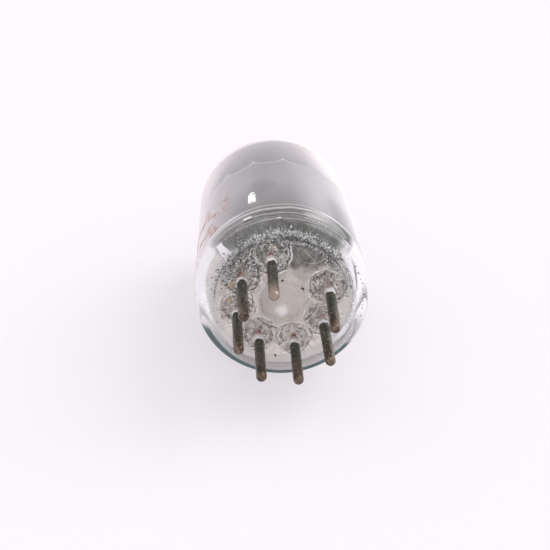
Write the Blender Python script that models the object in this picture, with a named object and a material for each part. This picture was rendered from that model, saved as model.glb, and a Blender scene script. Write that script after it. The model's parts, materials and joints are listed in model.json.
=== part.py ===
"""A seven-pin miniature vacuum tube: a shielded pentode in a short glass bulb, lying on its side.

Frame: metres, +Z up. The origin is the centre of the flat outer face of the glass button. +Y runs along
the tube's axis, from the pins to the domed end, so the pins point along -Y.

The tube is drawn standing up, in a tube frame: z along its axis from the button's outer face, x and y across
it. One empty then lays it down. The electrodes are drawn in the mount's own axes: u through the grid rods,
v across them.
"""

import math

import bmesh
import bpy
from mathutils import Matrix, Vector

MM = 0.001

FIT_GAP = 0.05 * MM  # between pieces that touch on the real tube
SEAL_GAP = 0.1 * MM  # between the two glass pieces, and between the film and the glass

# Glass envelope: a T-5 1/2 bulb with the short outline
BULB_RADIUS = 8.95 * MM
BULB_WALL = 0.9 * MM
BULB_INNER_RADIUS = BULB_RADIUS - BULB_WALL
DOME_START = 23.4 * MM
SEATED_HEIGHT = 36.9 * MM
RIM_RADIUS = 8.7 * MM
RIM_CORNER = 0.7 * MM
WAIST_RADIUS = 8.55 * MM
WAIST_HEIGHT = 2.1 * MM
SHOULDER_HEIGHT = 4.2 * MM
PIP_ROOT_RADIUS = 1.7 * MM
BULB_SIDES = 36
DOME_STEPS = 8

# Glass button that closes the bulb
BUTTON_RADIUS = 7.8 * MM
BUTTON_THICKNESS = 2.0 * MM
BUTTON_EDGE = 0.3 * MM
RECESS_RADIUS = 2.9 * MM
RECESS_DEPTH = 0.4 * MM
COLLAR_RADIUS = 1.0 * MM
COLLAR_HEIGHT = 0.2 * MM
MOUND_RADIUS = 1.65 * MM
MOUND_HEIGHT = 0.8 * MM

# The seven pins stand at eight equal steps of a circle, with one place left empty
PIN_COUNT = 7
PIN_STEP = math.radians(45)
PIN_CIRCLE_RADIUS = 9.525 / 2 * MM
PIN_RADIUS = 1.016 / 2 * MM
PIN_LENGTH = 7.2 * MM
PIN_IN_GLASS = 0.9 * MM
PIN_SIDES = 12
PIN_1_ANGLE = math.radians(-14)  # from +X, as the tube lies

# Lead-in wires behind the pins
SEAL_RADIUS = 0.45 * MM
SEAL_TOP = BUTTON_THICKNESS + MOUND_HEIGHT + 0.2 * MM
LEAD_RADIUS = 0.25 * MM
LEAD_STRAIGHT = 0.7 * MM

# Electrode stack, as heights along the tube
LOWER_MICA = 7.0 * MM
UPPER_MICA = 18.25 * MM
MICA_THICKNESS = 0.25 * MM
MICA_RADIUS = 7.35 * MM
MICA_TOOTH_RADIUS = 7.85 * MM
MICA_TEETH = 16
MICA_TOOTH_TURN = math.radians(-3)  # from the mount's u axis to one of the teeth
LEAD_TOP = LOWER_MICA - 0.4 * MM
ROD_BOTTOM = LOWER_MICA - 0.5 * MM
WELDED_ROD_BOTTOM = LOWER_MICA - 1.5 * MM
ROD_TOP = UPPER_MICA + 1.1 * MM
GRID_BOTTOM = LOWER_MICA + 1.4 * MM
GRID_TOP = UPPER_MICA - 1.4 * MM
MOUNT_ANGLE = PIN_1_ANGLE + PIN_STEP / 2  # direction of the mount's u axis, between pins 1 and 2

# Each grid: distance of its rods from the axis, rod radius, half depth of its winding, turns
GRIDS = {
    "control_grid": (1.75 * MM, 0.35 * MM, 0.95 * MM, 9),
    "screen_grid": (2.75 * MM, 0.3 * MM, 1.6 * MM, 7),
    "suppressor_grid": (3.8 * MM, 0.3 * MM, 2.4 * MM, 5),
}
WELDED_RODS = ("control_grid_rod_1", "screen_grid_rod_2")  # these two reach down to a lead
GRID_WIRE_RADIUS = 0.06 * MM
GRID_WIRE_CLEARANCE = 0.12 * MM
STEPS_PER_TURN = 16
ROD_SIDES = 8

# Cathode and heater
CATHODE_RADIUS = 0.6 * MM
CATHODE_BORE = 0.5 * MM
CATHODE_BOTTOM = LOWER_MICA - 1.1 * MM
CATHODE_TOP = UPPER_MICA + 0.9 * MM
COATING_THICKNESS = 0.1 * MM
HEATER_RADIUS = 0.1 * MM
HEATER_STRAND_U = 0.24 * MM
HEATER_STRAND_V = 0.14 * MM
HEATER_TOP = CATHODE_TOP - 0.6 * MM
HEATER_FOLD = CATHODE_BOTTOM + 0.6 * MM
HEATER_TAIL_V = 0.63 * MM
HEATER_BEND_STEPS = 4

# Tabs of nickel sheet between the lead-in wires and the cathode and heater
TAB_SHEET = 0.12 * MM
CATHODE_TAB_V = 0.5 * MM
HEATER_TAB_V = 0.78 * MM
HEATER_TAB_U = 0.4 * MM

# Anode: two pressed halves that meet at flanges
ANODE_HALF_WIDTH = 4.75 * MM
ANODE_HALF_DEPTH = 3.1 * MM
ANODE_FLANGE_END = 5.7 * MM
ANODE_BOTTOM = LOWER_MICA + 0.6 * MM
ANODE_TOP = UPPER_MICA - 0.4 * MM
ANODE_SHEET = 0.2 * MM
FLANGE_V = ANODE_SHEET / 2 + FIT_GAP
ANODE_TAB_U = 5.3 * MM
ANODE_TAB_WIDTH = 0.5 * MM
ANODE_TAB_SHEET = 0.16 * MM

# Shield can around the anode: a tube of sheet with two windows and three ears at each end
CAN_RADIUS = 6.35 * MM
CAN_SHEET = 0.2 * MM
CAN_BOTTOM = LOWER_MICA + 0.45 * MM
CAN_TOP = UPPER_MICA - 0.2 * MM
CAN_SIDES = 36
EAR_FACETS = (3, 15, 27)
EAR_WIDTH = 1.0 * MM
EAR_SHEET = 0.16 * MM
WINDOW_FACETS = (13, 31)
WINDOW_WIDTH = 3.2 * MM
WINDOW_MARGIN = 1.8 * MM

# Getter in the dome, and the film that it left on the glass
GETTER_HEIGHT = 24.0 * MM
GETTER_RADIUS = 2.3 * MM
GETTER_SECTION = 0.45 * MM
SUPPORT_RADIUS = 0.2 * MM
FILM_START = 19.3 * MM
FILM_THICKNESS = 0.08 * MM


# Helpers --------------------------------------------------------------------------------------------------


def clear_scene():
    for old in list(bpy.data.objects):
        bpy.data.objects.remove(old, do_unlink=True)


def lying_axis():
    """The empty that lays the standing tube down: the tube frame's z becomes +Y."""
    axis = bpy.data.objects.new("tube_axis", None)
    bpy.context.scene.collection.objects.link(axis)
    axis.rotation_euler = (-math.pi / 2, 0, 0)
    return axis


def material(name, colour, roughness, metallic=0.0):
    made = bpy.data.materials.new(name)
    made.use_nodes = True
    shader = made.node_tree.nodes["Principled BSDF"]
    shader.inputs["Base Color"].default_value = (*colour, 1)
    shader.inputs["Roughness"].default_value = roughness
    shader.inputs["Metallic"].default_value = metallic
    return made


def add(name, data, finish):
    """Puts a piece in the scene, under the tube's empty."""
    piece = bpy.data.objects.new(name, data)
    bpy.context.scene.collection.objects.link(piece)
    piece.parent = AXIS
    data.materials.append(finish)
    return piece


def add_bmesh(name, bm, finish):
    """The same for a bmesh, with its faces turned outwards and its round faces shaded smooth."""
    bmesh.ops.recalc_face_normals(bm, faces=bm.faces[:])
    mesh = bpy.data.meshes.new(name)
    bm.to_mesh(mesh)
    bm.free()
    mesh.shade_smooth()
    mesh.set_sharp_from_angle(angle=math.radians(35))
    return add(name, mesh, finish)


def combine(piece, helper, operation):
    """A Boolean that joins the helper to a piece, or cuts it out of the piece."""
    helper.hide_render = True
    helper.display_type = "WIRE"
    change = piece.modifiers.new(helper.name, "BOOLEAN")
    change.operation = operation
    change.object = helper
    change.solver = "EXACT"


def turned(angle, u, v, z=0.0):
    """A point in axes turned about the tube's axis by an angle, in the tube frame."""
    return Matrix.Rotation(angle, 3, "Z") @ Vector((u, v, z))


def at_mount(u, v, z=0.0):
    return turned(MOUNT_ANGLE, u, v, z)


def pin_centre(number):
    return turned(PIN_1_ANGLE + PIN_STEP * (number - 1), PIN_CIRCLE_RADIUS, 0)


def facet_angle(facet):
    """The direction of the middle of one flat of the shield can."""
    return MOUNT_ANGLE + 2 * math.pi * (facet + 0.5) / CAN_SIDES


def arc(centre, radius, start, end, steps):
    """Points of a circular arc in an (r, z) profile, both ends included."""
    turns = [start + (end - start) * i / steps for i in range(steps + 1)]
    return [(centre[0] + radius * math.cos(a), centre[1] + radius * math.sin(a)) for a in turns]


def lathe(name, profile, sides, finish, closed=False):
    """Turns an (r, z) profile about the axis. A profile that isn't closed starts and ends on the axis."""
    bm = bmesh.new()
    half_step = math.pi / sides
    corners = [bm.verts.new(turned(half_step, r, 0, z)) for r, z in profile]
    pairs = list(zip(corners, corners[1:]))
    if closed:
        pairs.append((corners[-1], corners[0]))
    edges = [bm.edges.new(pair) for pair in pairs]
    around = {"axis": (0, 0, 1), "cent": (0, 0, 0), "angle": 2 * math.pi, "steps": sides}
    bmesh.ops.spin(bm, geom=corners + edges, use_merge=True, **around)
    bmesh.ops.remove_doubles(bm, verts=bm.verts[:], dist=1e-7)
    return add_bmesh(name, bm, finish)


def tube_profile(bore, radius, low, high):
    return [(bore, low), (radius, low), (radius, high), (bore, high)]


def add_cone(bm, radii, ends, centre, sides):
    """A cylinder or frustum between two heights, standing at centre."""
    low, high = ends
    place = Matrix.Translation((centre.x, centre.y, (low + high) / 2))
    shape = {"segments": sides, "radius1": radii[0], "radius2": radii[1], "depth": high - low}
    bmesh.ops.create_cone(bm, cap_ends=True, matrix=place, **shape)


def rod(name, centre, radius, low, high, finish):
    bm = bmesh.new()
    add_cone(bm, (radius, radius), (low, high), centre, ROD_SIDES)
    return add_bmesh(name, bm, finish)


def add_box(bm, middle, size, angle):
    """A box with its middle and size in axes turned about the tube's axis by an angle."""
    place = Matrix.Translation(turned(angle, *middle)) @ Matrix.Rotation(angle, 4, "Z")
    bmesh.ops.create_cube(bm, size=1, matrix=place @ Matrix.Diagonal((*size, 1)))


def box(name, middle, size, angle, finish):
    bm = bmesh.new()
    add_box(bm, middle, size, angle)
    return add_bmesh(name, bm, finish)


def wire(name, points, radius, finish, bevel_resolution=1):
    """A round wire along a list of points."""
    curve = bpy.data.curves.new(name, "CURVE")
    curve.dimensions = "3D"
    curve.bevel_depth = radius
    curve.bevel_resolution = bevel_resolution
    curve.use_fill_caps = True
    spline = curve.splines.new("POLY")
    spline.points.add(len(points) - 1)
    for place, point in zip(spline.points, points):
        place.co = (*point, 1)
    return add(name, curve, finish)


def plate(name, outline, holes, low, high, finish):
    """A sheet or bar with one outline all the way up, with holes through it."""
    bm = bmesh.new()
    for loop in [outline, *holes]:
        corners = [bm.verts.new((point.x, point.y, low)) for point in loop]
        for pair in zip(corners, corners[1:] + corners[:1]):
            bm.edges.new(pair)
    bmesh.ops.triangle_fill(bm, use_beauty=True, edges=bm.edges[:])
    raised = bmesh.ops.extrude_face_region(bm, geom=bm.faces[:])["geom"]
    top = [item for item in raised if isinstance(item, bmesh.types.BMVert)]
    bmesh.ops.translate(bm, verts=top, vec=(0, 0, high - low))
    return add_bmesh(name, bm, finish)


def round_loop(centre, radius, sides, phase=0.0):
    return [centre + turned(phase + 2 * math.pi * i / sides, radius, 0) for i in range(sides)]


def slot_loop(angle, centre, size):
    """A rectangle with its centre and size in axes turned about the tube's axis by an angle."""
    corners = ((1, 1), (-1, 1), (-1, -1), (1, -1))
    return [turned(angle, centre[0] + a * size[0] / 2, centre[1] + b * size[1] / 2) for a, b in corners]


def s_bend(start, end, steps=9):
    """The path of a wire that leaves start and reaches end along the tube's axis."""
    rise = Vector((0, 0, (end.z - start.z) / 2))
    path = []
    for i in range(steps + 1):
        t = i / steps
        back = 1 - t
        leaving = start * back**3 + (start + rise) * (3 * t * back**2)
        reaching = (end - rise) * (3 * t**2 * back) + end * t**3
        path.append(leaving + reaching)
    return path


# Glass ----------------------------------------------------------------------------------------------------


def build_bulb():
    """From the top of its bore down to a rounded foot, then up over a shallow waist, a dome and a pip."""
    foot_bore = BUTTON_RADIUS + SEAL_GAP
    dome_end = math.acos(PIP_ROOT_RADIUS / BULB_RADIUS)
    pip_root = DOME_START + BULB_RADIUS * math.sin(dome_end)
    pip_height = SEATED_HEIGHT - pip_root
    quarter = math.pi / 2
    profile = arc((0, DOME_START), BULB_INNER_RADIUS, quarter, 0, DOME_STEPS)
    profile += [(BULB_INNER_RADIUS, SHOULDER_HEIGHT), (foot_bore, WAIST_HEIGHT), (foot_bore, 0)]
    profile += arc((RIM_RADIUS - RIM_CORNER, RIM_CORNER), RIM_CORNER, -quarter, 0, 3)
    profile += [
        (WAIST_RADIUS, WAIST_HEIGHT),
        (BULB_RADIUS - 0.05 * MM, (WAIST_HEIGHT + SHOULDER_HEIGHT) / 2),
        (BULB_RADIUS, SHOULDER_HEIGHT),
    ]
    profile += arc((0, DOME_START), BULB_RADIUS, 0, dome_end, DOME_STEPS)
    for radius, share in ((1.3 * MM, 0.15), (1.1 * MM, 0.5), (0.65 * MM, 0.88), (0, 1)):
        profile.append((radius, pip_root + share * pip_height))
    lathe("glass_bulb", profile, BULB_SIDES, GLASS)


def build_button():
    """The moulded button, with a small collar outside and a mound inside at each lead, and a bore through."""
    edge = BUTTON_RADIUS - BUTTON_EDGE
    floor = BUTTON_THICKNESS - RECESS_DEPTH
    profile = [
        (0, 0),
        (edge, 0),
        (BUTTON_RADIUS, BUTTON_EDGE),
        (BUTTON_RADIUS, BUTTON_THICKNESS - BUTTON_EDGE),
        (edge, BUTTON_THICKNESS),
        (RECESS_RADIUS, BUTTON_THICKNESS),
        (RECESS_RADIUS - RECESS_DEPTH, floor),
        (0, floor),
    ]
    button = lathe("button_stem", profile, BULB_SIDES, GLASS)
    collars, mounds, bores = bmesh.new(), bmesh.new(), bmesh.new()
    buried = 0.5 * MM
    crest = PIN_RADIUS + 0.25 * MM
    mound_ends = (BUTTON_THICKNESS - buried, BUTTON_THICKNESS + MOUND_HEIGHT)
    bore_radii = (PIN_RADIUS + FIT_GAP, PIN_RADIUS + FIT_GAP)
    for number in range(1, PIN_COUNT + 1):
        centre = pin_centre(number)
        add_cone(collars, (crest, COLLAR_RADIUS), (-COLLAR_HEIGHT, buried), centre, PIN_SIDES)
        add_cone(mounds, (MOUND_RADIUS, crest), mound_ends, centre, PIN_SIDES)
        add_cone(bores, bore_radii, (-1 * MM, SEAL_TOP), centre, PIN_SIDES)
    combine(button, add_bmesh("button_collars", collars, GLASS), "UNION")
    combine(button, add_bmesh("button_mounds", mounds, GLASS), "UNION")
    combine(button, add_bmesh("button_bores", bores, GLASS), "DIFFERENCE")


# Pins and leads -------------------------------------------------------------------------------------------


def lead_ends():
    """Where each lead ends, beside the piece that it is welded to, in the mount's axes."""
    beside = LEAD_RADIUS + FIT_GAP
    control_u, control_radius = GRIDS["control_grid"][:2]
    screen_u, screen_radius = GRIDS["screen_grid"][:2]
    heater_v = HEATER_TAB_V + TAB_SHEET / 2 + beside
    ear = turned(facet_angle(EAR_FACETS[2]) - MOUNT_ANGLE, CAN_RADIUS - CAN_SHEET - beside, 0)
    return {
        1: (control_u, -control_radius - beside),
        2: (1.5 * MM, CATHODE_TAB_V + TAB_SHEET / 2 + beside),
        3: (HEATER_TAB_U, heater_v),
        4: (-HEATER_TAB_U, heater_v),
        5: (-ANODE_TAB_U, beside),
        6: (-screen_u, -screen_radius - beside),
        7: (ear.x, ear.y),
    }


def build_pins_and_leads():
    """Each lead is welded from three stretches: the pin, the wire sealed in the glass, and a soft wire."""
    ends = lead_ends()
    shank = PIN_LENGTH - PIN_RADIUS
    pin_profile = arc((0, -shank), PIN_RADIUS, -math.pi / 2, 0, 4)
    pin_profile += [(PIN_RADIUS, PIN_IN_GLASS), (0, PIN_IN_GLASS)]
    seal_profile = tube_profile(0, SEAL_RADIUS, PIN_IN_GLASS + FIT_GAP, SEAL_TOP)
    lead_bottom = SEAL_TOP + FIT_GAP
    for number in range(1, PIN_COUNT + 1):
        centre = pin_centre(number)
        lathe(f"pin_{number}", pin_profile, PIN_SIDES, PIN_METAL).location = centre
        lathe(f"seal_wire_{number}", seal_profile, PIN_SIDES, DUMET).location = centre
        foot = centre + Vector((0, 0, lead_bottom))
        top = at_mount(*ends[number], LEAD_TOP)
        bend = s_bend(foot + Vector((0, 0, 0.3 * MM)), top - Vector((0, 0, LEAD_STRAIGHT)))
        wire(f"inner_lead_{number}", [foot, *bend, top], LEAD_RADIUS, NICKEL)


# Electrodes -----------------------------------------------------------------------------------------------


def mica_outline():
    """A disc with pointed teeth at its edge, which spring against the glass."""
    tooth_step = 2 * math.pi / MICA_TEETH
    shapes = ((-0.2, MICA_RADIUS), (0, MICA_TOOTH_RADIUS), (0.2, MICA_RADIUS))
    return [
        turned(MOUNT_ANGLE + MICA_TOOTH_TURN + tooth_step * (tooth + share), radius, 0)
        for tooth in range(MICA_TEETH)
        for share, radius in shapes
    ]


def mica_holes():
    ease = 0.14 * MM
    can_middle = CAN_RADIUS - CAN_SHEET / 2
    ear_size = (EAR_SHEET + 2 * ease, EAR_WIDTH + 2 * ease)
    tab_size = (ANODE_TAB_WIDTH + 2 * ease, ANODE_TAB_SHEET + ease)
    holes = [slot_loop(facet_angle(facet), (can_middle, 0), ear_size) for facet in EAR_FACETS]
    holes += [slot_loop(MOUNT_ANGLE, (side * ANODE_TAB_U, side * FLANGE_V), tab_size) for side in (1, -1)]
    holes.append(round_loop(Vector((0, 0, 0)), CATHODE_RADIUS + 2 * FIT_GAP, 12))
    for rod_u, rod_radius, _, _ in GRIDS.values():
        for side in (1, -1):
            holes.append(round_loop(at_mount(side * rod_u, 0), rod_radius + FIT_GAP, ROD_SIDES))
    return holes


def build_micas():
    for name, low in (("lower_mica", LOWER_MICA), ("upper_mica", UPPER_MICA)):
        plate(name, mica_outline(), mica_holes(), low, low + MICA_THICKNESS, MICA)


def build_grids():
    """Each grid is two rods with a helix wound around both."""
    for name, (rod_u, rod_radius, half_depth, turns) in GRIDS.items():
        finish = DUMET if name == "control_grid" else NICKEL
        for number, side in ((1, 1), (2, -1)):
            rod_name = f"{name}_rod_{number}"
            low = WELDED_ROD_BOTTOM if rod_name in WELDED_RODS else ROD_BOTTOM
            rod(rod_name, at_mount(side * rod_u, 0), rod_radius, low, ROD_TOP, finish)
        half_width = rod_u + rod_radius + GRID_WIRE_CLEARANCE + GRID_WIRE_RADIUS
        count = turns * STEPS_PER_TURN
        path = []
        for i in range(count + 1):
            turn = 2 * math.pi * i / STEPS_PER_TURN
            height = GRID_BOTTOM + (GRID_TOP - GRID_BOTTOM) * i / count
            path.append(at_mount(half_width * math.cos(turn), half_depth * math.sin(turn), height))
        wire(f"{name}_winding", path, GRID_WIRE_RADIUS, MOLYBDENUM, bevel_resolution=0)


def build_cathode():
    sleeve = tube_profile(CATHODE_BORE, CATHODE_RADIUS, CATHODE_BOTTOM, CATHODE_TOP)
    lathe("cathode_sleeve", sleeve, 12, NICKEL, closed=True)
    coating_bore = CATHODE_RADIUS + FIT_GAP / 2
    coating = tube_profile(coating_bore, coating_bore + COATING_THICKNESS, GRID_BOTTOM, GRID_TOP)
    lathe("cathode_coating", coating, 12, OXIDE, closed=True)
    tab_low, tab_high = CATHODE_BOTTOM + 0.05 * MM, LOWER_MICA - 0.1 * MM
    tab_middle = (1.25 * MM, CATHODE_TAB_V, (tab_low + tab_high) / 2)
    box("cathode_tab", tab_middle, (1.1 * MM, TAB_SHEET, tab_high - tab_low), MOUNT_ANGLE, NICKEL)


def build_heater():
    """A coated wire folded into four strands inside the sleeve, with a tail to a tab at each end."""
    strands = [(1, 1), (1, -1), (-1, -1), (-1, 1)]
    strands = [(a * HEATER_STRAND_U, b * HEATER_STRAND_V) for a, b in strands]
    tail = CATHODE_BOTTOM - 0.5 * MM
    path = []
    for strand, level, reach in ((0, HEATER_TOP, 1), (1, HEATER_FOLD, -1), (2, HEATER_TOP, 1)):
        (u, v), (next_u, next_v) = strands[strand], strands[strand + 1]
        for i in range(HEATER_BEND_STEPS + 1):
            turn = math.pi * i / HEATER_BEND_STEPS
            share = (1 - math.cos(turn)) / 2
            height = level + reach * HEATER_STRAND_V * math.sin(turn)
            path.append(at_mount(u + (next_u - u) * share, v + (next_v - v) * share, height))
    tails = []
    for u, v in (strands[0], strands[-1]):
        ends = ((v, CATHODE_BOTTOM), (2 * v, tail), (HEATER_TAIL_V, tail - 0.3 * MM))
        tails.append([at_mount(u, along, height) for along, height in ends])
    wire("heater", tails[0][::-1] + path + tails[1], HEATER_RADIUS, ALUMINA, bevel_resolution=0)
    tab_low, tab_high = tail - 0.5 * MM, LEAD_TOP - 0.2 * MM
    for number, side in ((1, 1), (2, -1)):
        middle = (side * HEATER_TAB_U, HEATER_TAB_V, (tab_low + tab_high) / 2)
        size = (0.4 * MM, TAB_SHEET, tab_high - tab_low)
        box(f"heater_tab_{number}", middle, size, MOUNT_ANGLE, NICKEL)


def ribbon(path, thickness):
    """The closed outline of a strip of sheet that follows a path."""
    left, right = [], []
    for i, point in enumerate(path):
        along = (path[min(i + 1, len(path) - 1)] - path[max(i - 1, 0)]).normalized()
        across = Vector((-along.y, along.x, 0)) * thickness / 2
        left.append(point + across)
        right.append(point - across)
    return left + right[::-1]


def build_anode():
    """Two pressed halves with flat flanges. Each has a tab through both micas at one end."""
    start, steps = math.radians(9), 12
    bend_u = ANODE_HALF_WIDTH + 0.15 * MM
    tab_reach = 1.0 * MM
    tab_height = UPPER_MICA - LOWER_MICA + 2 * tab_reach
    for name, side in (("anode_front", 1), ("anode_back", -1)):
        path = [(ANODE_FLANGE_END, FLANGE_V), (bend_u, FLANGE_V)]
        bow = arc((0, 0), 1, start, math.pi - start, steps)
        path += [(u * ANODE_HALF_WIDTH, v * ANODE_HALF_DEPTH) for u, v in bow]
        path += [(-bend_u, FLANGE_V), (-ANODE_FLANGE_END, FLANGE_V)]
        outline = ribbon([at_mount(side * u, side * v) for u, v in path], ANODE_SHEET)
        half = plate(name, outline, [], ANODE_BOTTOM, ANODE_TOP, CARBON)
        tab = bmesh.new()
        middle = (side * ANODE_TAB_U, side * FLANGE_V, (LOWER_MICA + UPPER_MICA) / 2)
        add_box(tab, middle, (ANODE_TAB_WIDTH, ANODE_TAB_SHEET, tab_height), MOUNT_ANGLE)
        combine(half, add_bmesh(f"{name}_tab", tab, CARBON), "UNION")


def build_can():
    """The sheet tube around the anode, with its windows cut out and its ears joined on."""
    centre = Vector((0, 0, 0))
    outline = round_loop(centre, CAN_RADIUS, CAN_SIDES, MOUNT_ANGLE)
    bore = round_loop(centre, CAN_RADIUS - CAN_SHEET, CAN_SIDES, MOUNT_ANGLE)
    can = plate("shield_can", outline, [bore], CAN_BOTTOM, CAN_TOP, NICKEL)
    middle = (LOWER_MICA + UPPER_MICA) / 2
    can_middle = CAN_RADIUS - CAN_SHEET / 2
    ears, windows = bmesh.new(), bmesh.new()
    for facet in EAR_FACETS:
        ear_height = UPPER_MICA - LOWER_MICA + 2 * MM
        sheet_middle = can_middle * math.cos(math.pi / CAN_SIDES)
        add_box(ears, (sheet_middle, 0, middle), (EAR_SHEET, EAR_WIDTH, ear_height), facet_angle(facet))
    for facet in WINDOW_FACETS:
        size = (2 * MM, WINDOW_WIDTH, CAN_TOP - CAN_BOTTOM - 2 * WINDOW_MARGIN)
        add_box(windows, (can_middle, 0, (CAN_BOTTOM + CAN_TOP) / 2), size, facet_angle(facet))
    combine(can, add_bmesh("can_ears", ears, NICKEL), "UNION")
    combine(can, add_bmesh("can_windows", windows, NICKEL), "DIFFERENCE")


# Getter ---------------------------------------------------------------------------------------------------


def build_getter():
    ring_sides = 20
    section = arc((GETTER_RADIUS, GETTER_HEIGHT), GETTER_SECTION, 0, 2 * math.pi, 8)[:-1]
    lathe("getter_ring", section, ring_sides, STEEL, closed=True)
    rod_u, rod_radius = GRIDS["suppressor_grid"][:2]
    beside = rod_radius + SUPPORT_RADIUS + FIT_GAP
    ring_underside = GETTER_HEIGHT - GETTER_SECTION - SUPPORT_RADIUS - 2 * FIT_GAP
    path = [
        at_mount(-rod_u, beside, UPPER_MICA + MICA_THICKNESS + 2 * FIT_GAP),
        at_mount(-rod_u, beside, ROD_TOP + 1.0 * MM),
        at_mount(-GETTER_RADIUS - 0.8 * MM, 0.2 * MM, ring_underside - 0.4 * MM),
        at_mount(-GETTER_RADIUS, 0, ring_underside),
        at_mount(-GETTER_RADIUS + 0.8 * MM, 0, ring_underside),
    ]
    wire("getter_support", path, SUPPORT_RADIUS, NICKEL)


def build_film():
    """The mirror of getter metal: a thin cup inside the dome."""
    outside = BULB_INNER_RADIUS - SEAL_GAP
    inside = outside - FILM_THICKNESS
    quarter = math.pi / 2
    profile = arc((0, DOME_START), outside, quarter, 0, DOME_STEPS)
    profile += [(outside, FILM_START), (inside, FILM_START)]
    profile += arc((0, DOME_START), inside, 0, quarter, DOME_STEPS)
    lathe("getter_film", profile, BULB_SIDES, MIRROR)


clear_scene()
AXIS = lying_axis()

GLASS = material("clear_glass", (0.80, 0.84, 0.83), 0.05)
PIN_METAL = material("pin_alloy", (0.26, 0.24, 0.21), 0.42, 0.8)
DUMET = material("copper_clad_wire", (0.45, 0.17, 0.12), 0.35, 0.9)
NICKEL = material("nickel", (0.55, 0.54, 0.52), 0.35, 1.0)
MOLYBDENUM = material("molybdenum_wire", (0.42, 0.41, 0.4), 0.3, 1.0)
OXIDE = material("oxide_coating", (0.86, 0.85, 0.82), 0.9)
ALUMINA = material("heater_insulation", (0.9, 0.89, 0.86), 0.9)
CARBON = material("carbonised_nickel", (0.09, 0.09, 0.09), 0.75, 0.3)
MICA = material("mica", (0.78, 0.76, 0.71), 0.35)
STEEL = material("getter_steel", (0.38, 0.37, 0.36), 0.4, 1.0)
MIRROR = material("getter_mirror", (0.34, 0.33, 0.33), 0.12, 1.0)

build_bulb()
build_button()
build_pins_and_leads()
build_micas()
build_grids()
build_cathode()
build_heater()
build_anode()
build_can()
build_getter()
build_film()
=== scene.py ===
"""Looks of a seven-pin miniature vacuum tube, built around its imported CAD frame.

The tube lies along +Y with its pins towards -Y and the camera. Lengths are in metres, and MM is a
millimetre. Places and distances in the materials and in the tables are in millimetres.
Angles around the tube run from +X towards +Z. The glass, the pins, the seal wires and the getter film are
rebuilt here as fine meshes where their CAD nodes lie. The other nodes keep their own meshes. Each visible
piece has a procedural material.
"""

import json
import math
import random

import bmesh
import bpy
from mathutils import Matrix, Vector, noise


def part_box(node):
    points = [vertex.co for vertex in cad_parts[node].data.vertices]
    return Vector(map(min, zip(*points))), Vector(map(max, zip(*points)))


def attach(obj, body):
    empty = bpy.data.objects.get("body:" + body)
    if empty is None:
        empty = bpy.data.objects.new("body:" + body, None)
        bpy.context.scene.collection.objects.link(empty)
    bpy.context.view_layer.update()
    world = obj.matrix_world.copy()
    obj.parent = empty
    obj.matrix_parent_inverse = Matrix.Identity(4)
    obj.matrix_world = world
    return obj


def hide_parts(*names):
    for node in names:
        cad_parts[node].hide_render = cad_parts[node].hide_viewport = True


MM = 0.001
ROOT = "root"

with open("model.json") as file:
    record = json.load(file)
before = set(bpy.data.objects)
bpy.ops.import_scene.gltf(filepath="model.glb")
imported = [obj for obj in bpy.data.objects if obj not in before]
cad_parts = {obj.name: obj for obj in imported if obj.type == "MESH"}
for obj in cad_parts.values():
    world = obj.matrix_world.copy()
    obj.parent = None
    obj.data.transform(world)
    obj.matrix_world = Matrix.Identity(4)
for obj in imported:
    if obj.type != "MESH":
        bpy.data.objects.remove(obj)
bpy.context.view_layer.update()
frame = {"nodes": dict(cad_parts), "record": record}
nodes = frame["nodes"]


# ---- Sizes read from the frame ----


def node_centre(name):
    low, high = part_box(name)
    return (low + high) / 2


bulb_low, bulb_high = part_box("glass_bulb")
BODY_RADIUS = bulb_high.x
SEATED = bulb_high.y
FLOOR = bulb_low.z

PIN_NUMBERS = range(1, 8)
CAD_PIN_SIDES = 12
PIN_CENTRES = {k: node_centre(f"pin_{k}") for k in PIN_NUMBERS}
pin_low, pin_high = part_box("pin_1")
PIN_RADIUS = (pin_high.x - pin_low.x) / 2 / math.cos(math.pi / CAD_PIN_SIDES)
PIN_TIP = pin_low.y
PIN_END = pin_high.y
SEAL_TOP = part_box("seal_wire_1")[1].y
UPPER_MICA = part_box("upper_mica")[1].y

# ---- Sizes that only the looks need ----

FACE_RADIUS = 7.35 * MM  # flat part of the button's outer face
RIM_REACH = 1.3 * MM  # how far the rounded foot reaches along the tube
RIM_RADIUS = 8.68 * MM
BUTTON = 2.0 * MM  # thickness of the glass between the pins
INNER_FACE = 6.7 * MM  # radius where the button's inner face turns up into the wall
INNER_WALL = BUTTON + 2.4 * MM  # where the bore begins to run straight
OUTER_WALL = 5.4 * MM  # where the outside begins to run straight
WALL = 0.9 * MM
BORE = BODY_RADIUS - WALL
DOME_START = 23.4 * MM
PIP_ROOT = 1.9 * MM
FILM_DEPTH = 0.03 * MM  # how deep in the glass the film lies, so that no gap mirrors light along the edges
FILM_START = 4.4 * MM
FILM_STEPS = 30
SEAL_WIRE_RADIUS = 0.26 * MM
SEAL_WIRE_START = 1.1 * MM
MICA_TEETH = 16
TOOTH_ANGLE = math.radians(-5.5)  # direction of one of the mica's teeth
SECTORS = 256
FILM_SECTORS = 120
PIN_SECTORS = 40
COLLAR_SECTORS = 36


# ---- Mesh helpers ----


def smoothstep(low, high, x):
    t = min(1.0, max(0.0, (x - low) / (high - low)))
    return t * t * (3 - 2 * t)


def around(radius, angle, y=0.0):
    """A point at an angle from +X towards +Z, at a place along the tube."""
    return Vector((radius * math.cos(angle), y, radius * math.sin(angle)))


def ball_template(fineness):
    bm = bmesh.new()
    bmesh.ops.create_icosphere(bm, subdivisions=fineness, radius=1)
    bm.verts.ensure_lookup_table()
    points = [vert.co.copy() for vert in bm.verts]
    faces = [[vert.index for vert in face.verts] for face in bm.faces]
    bm.free()
    return points, faces


BALLS = {fineness: ball_template(fineness) for fineness in (1, 2)}


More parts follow.
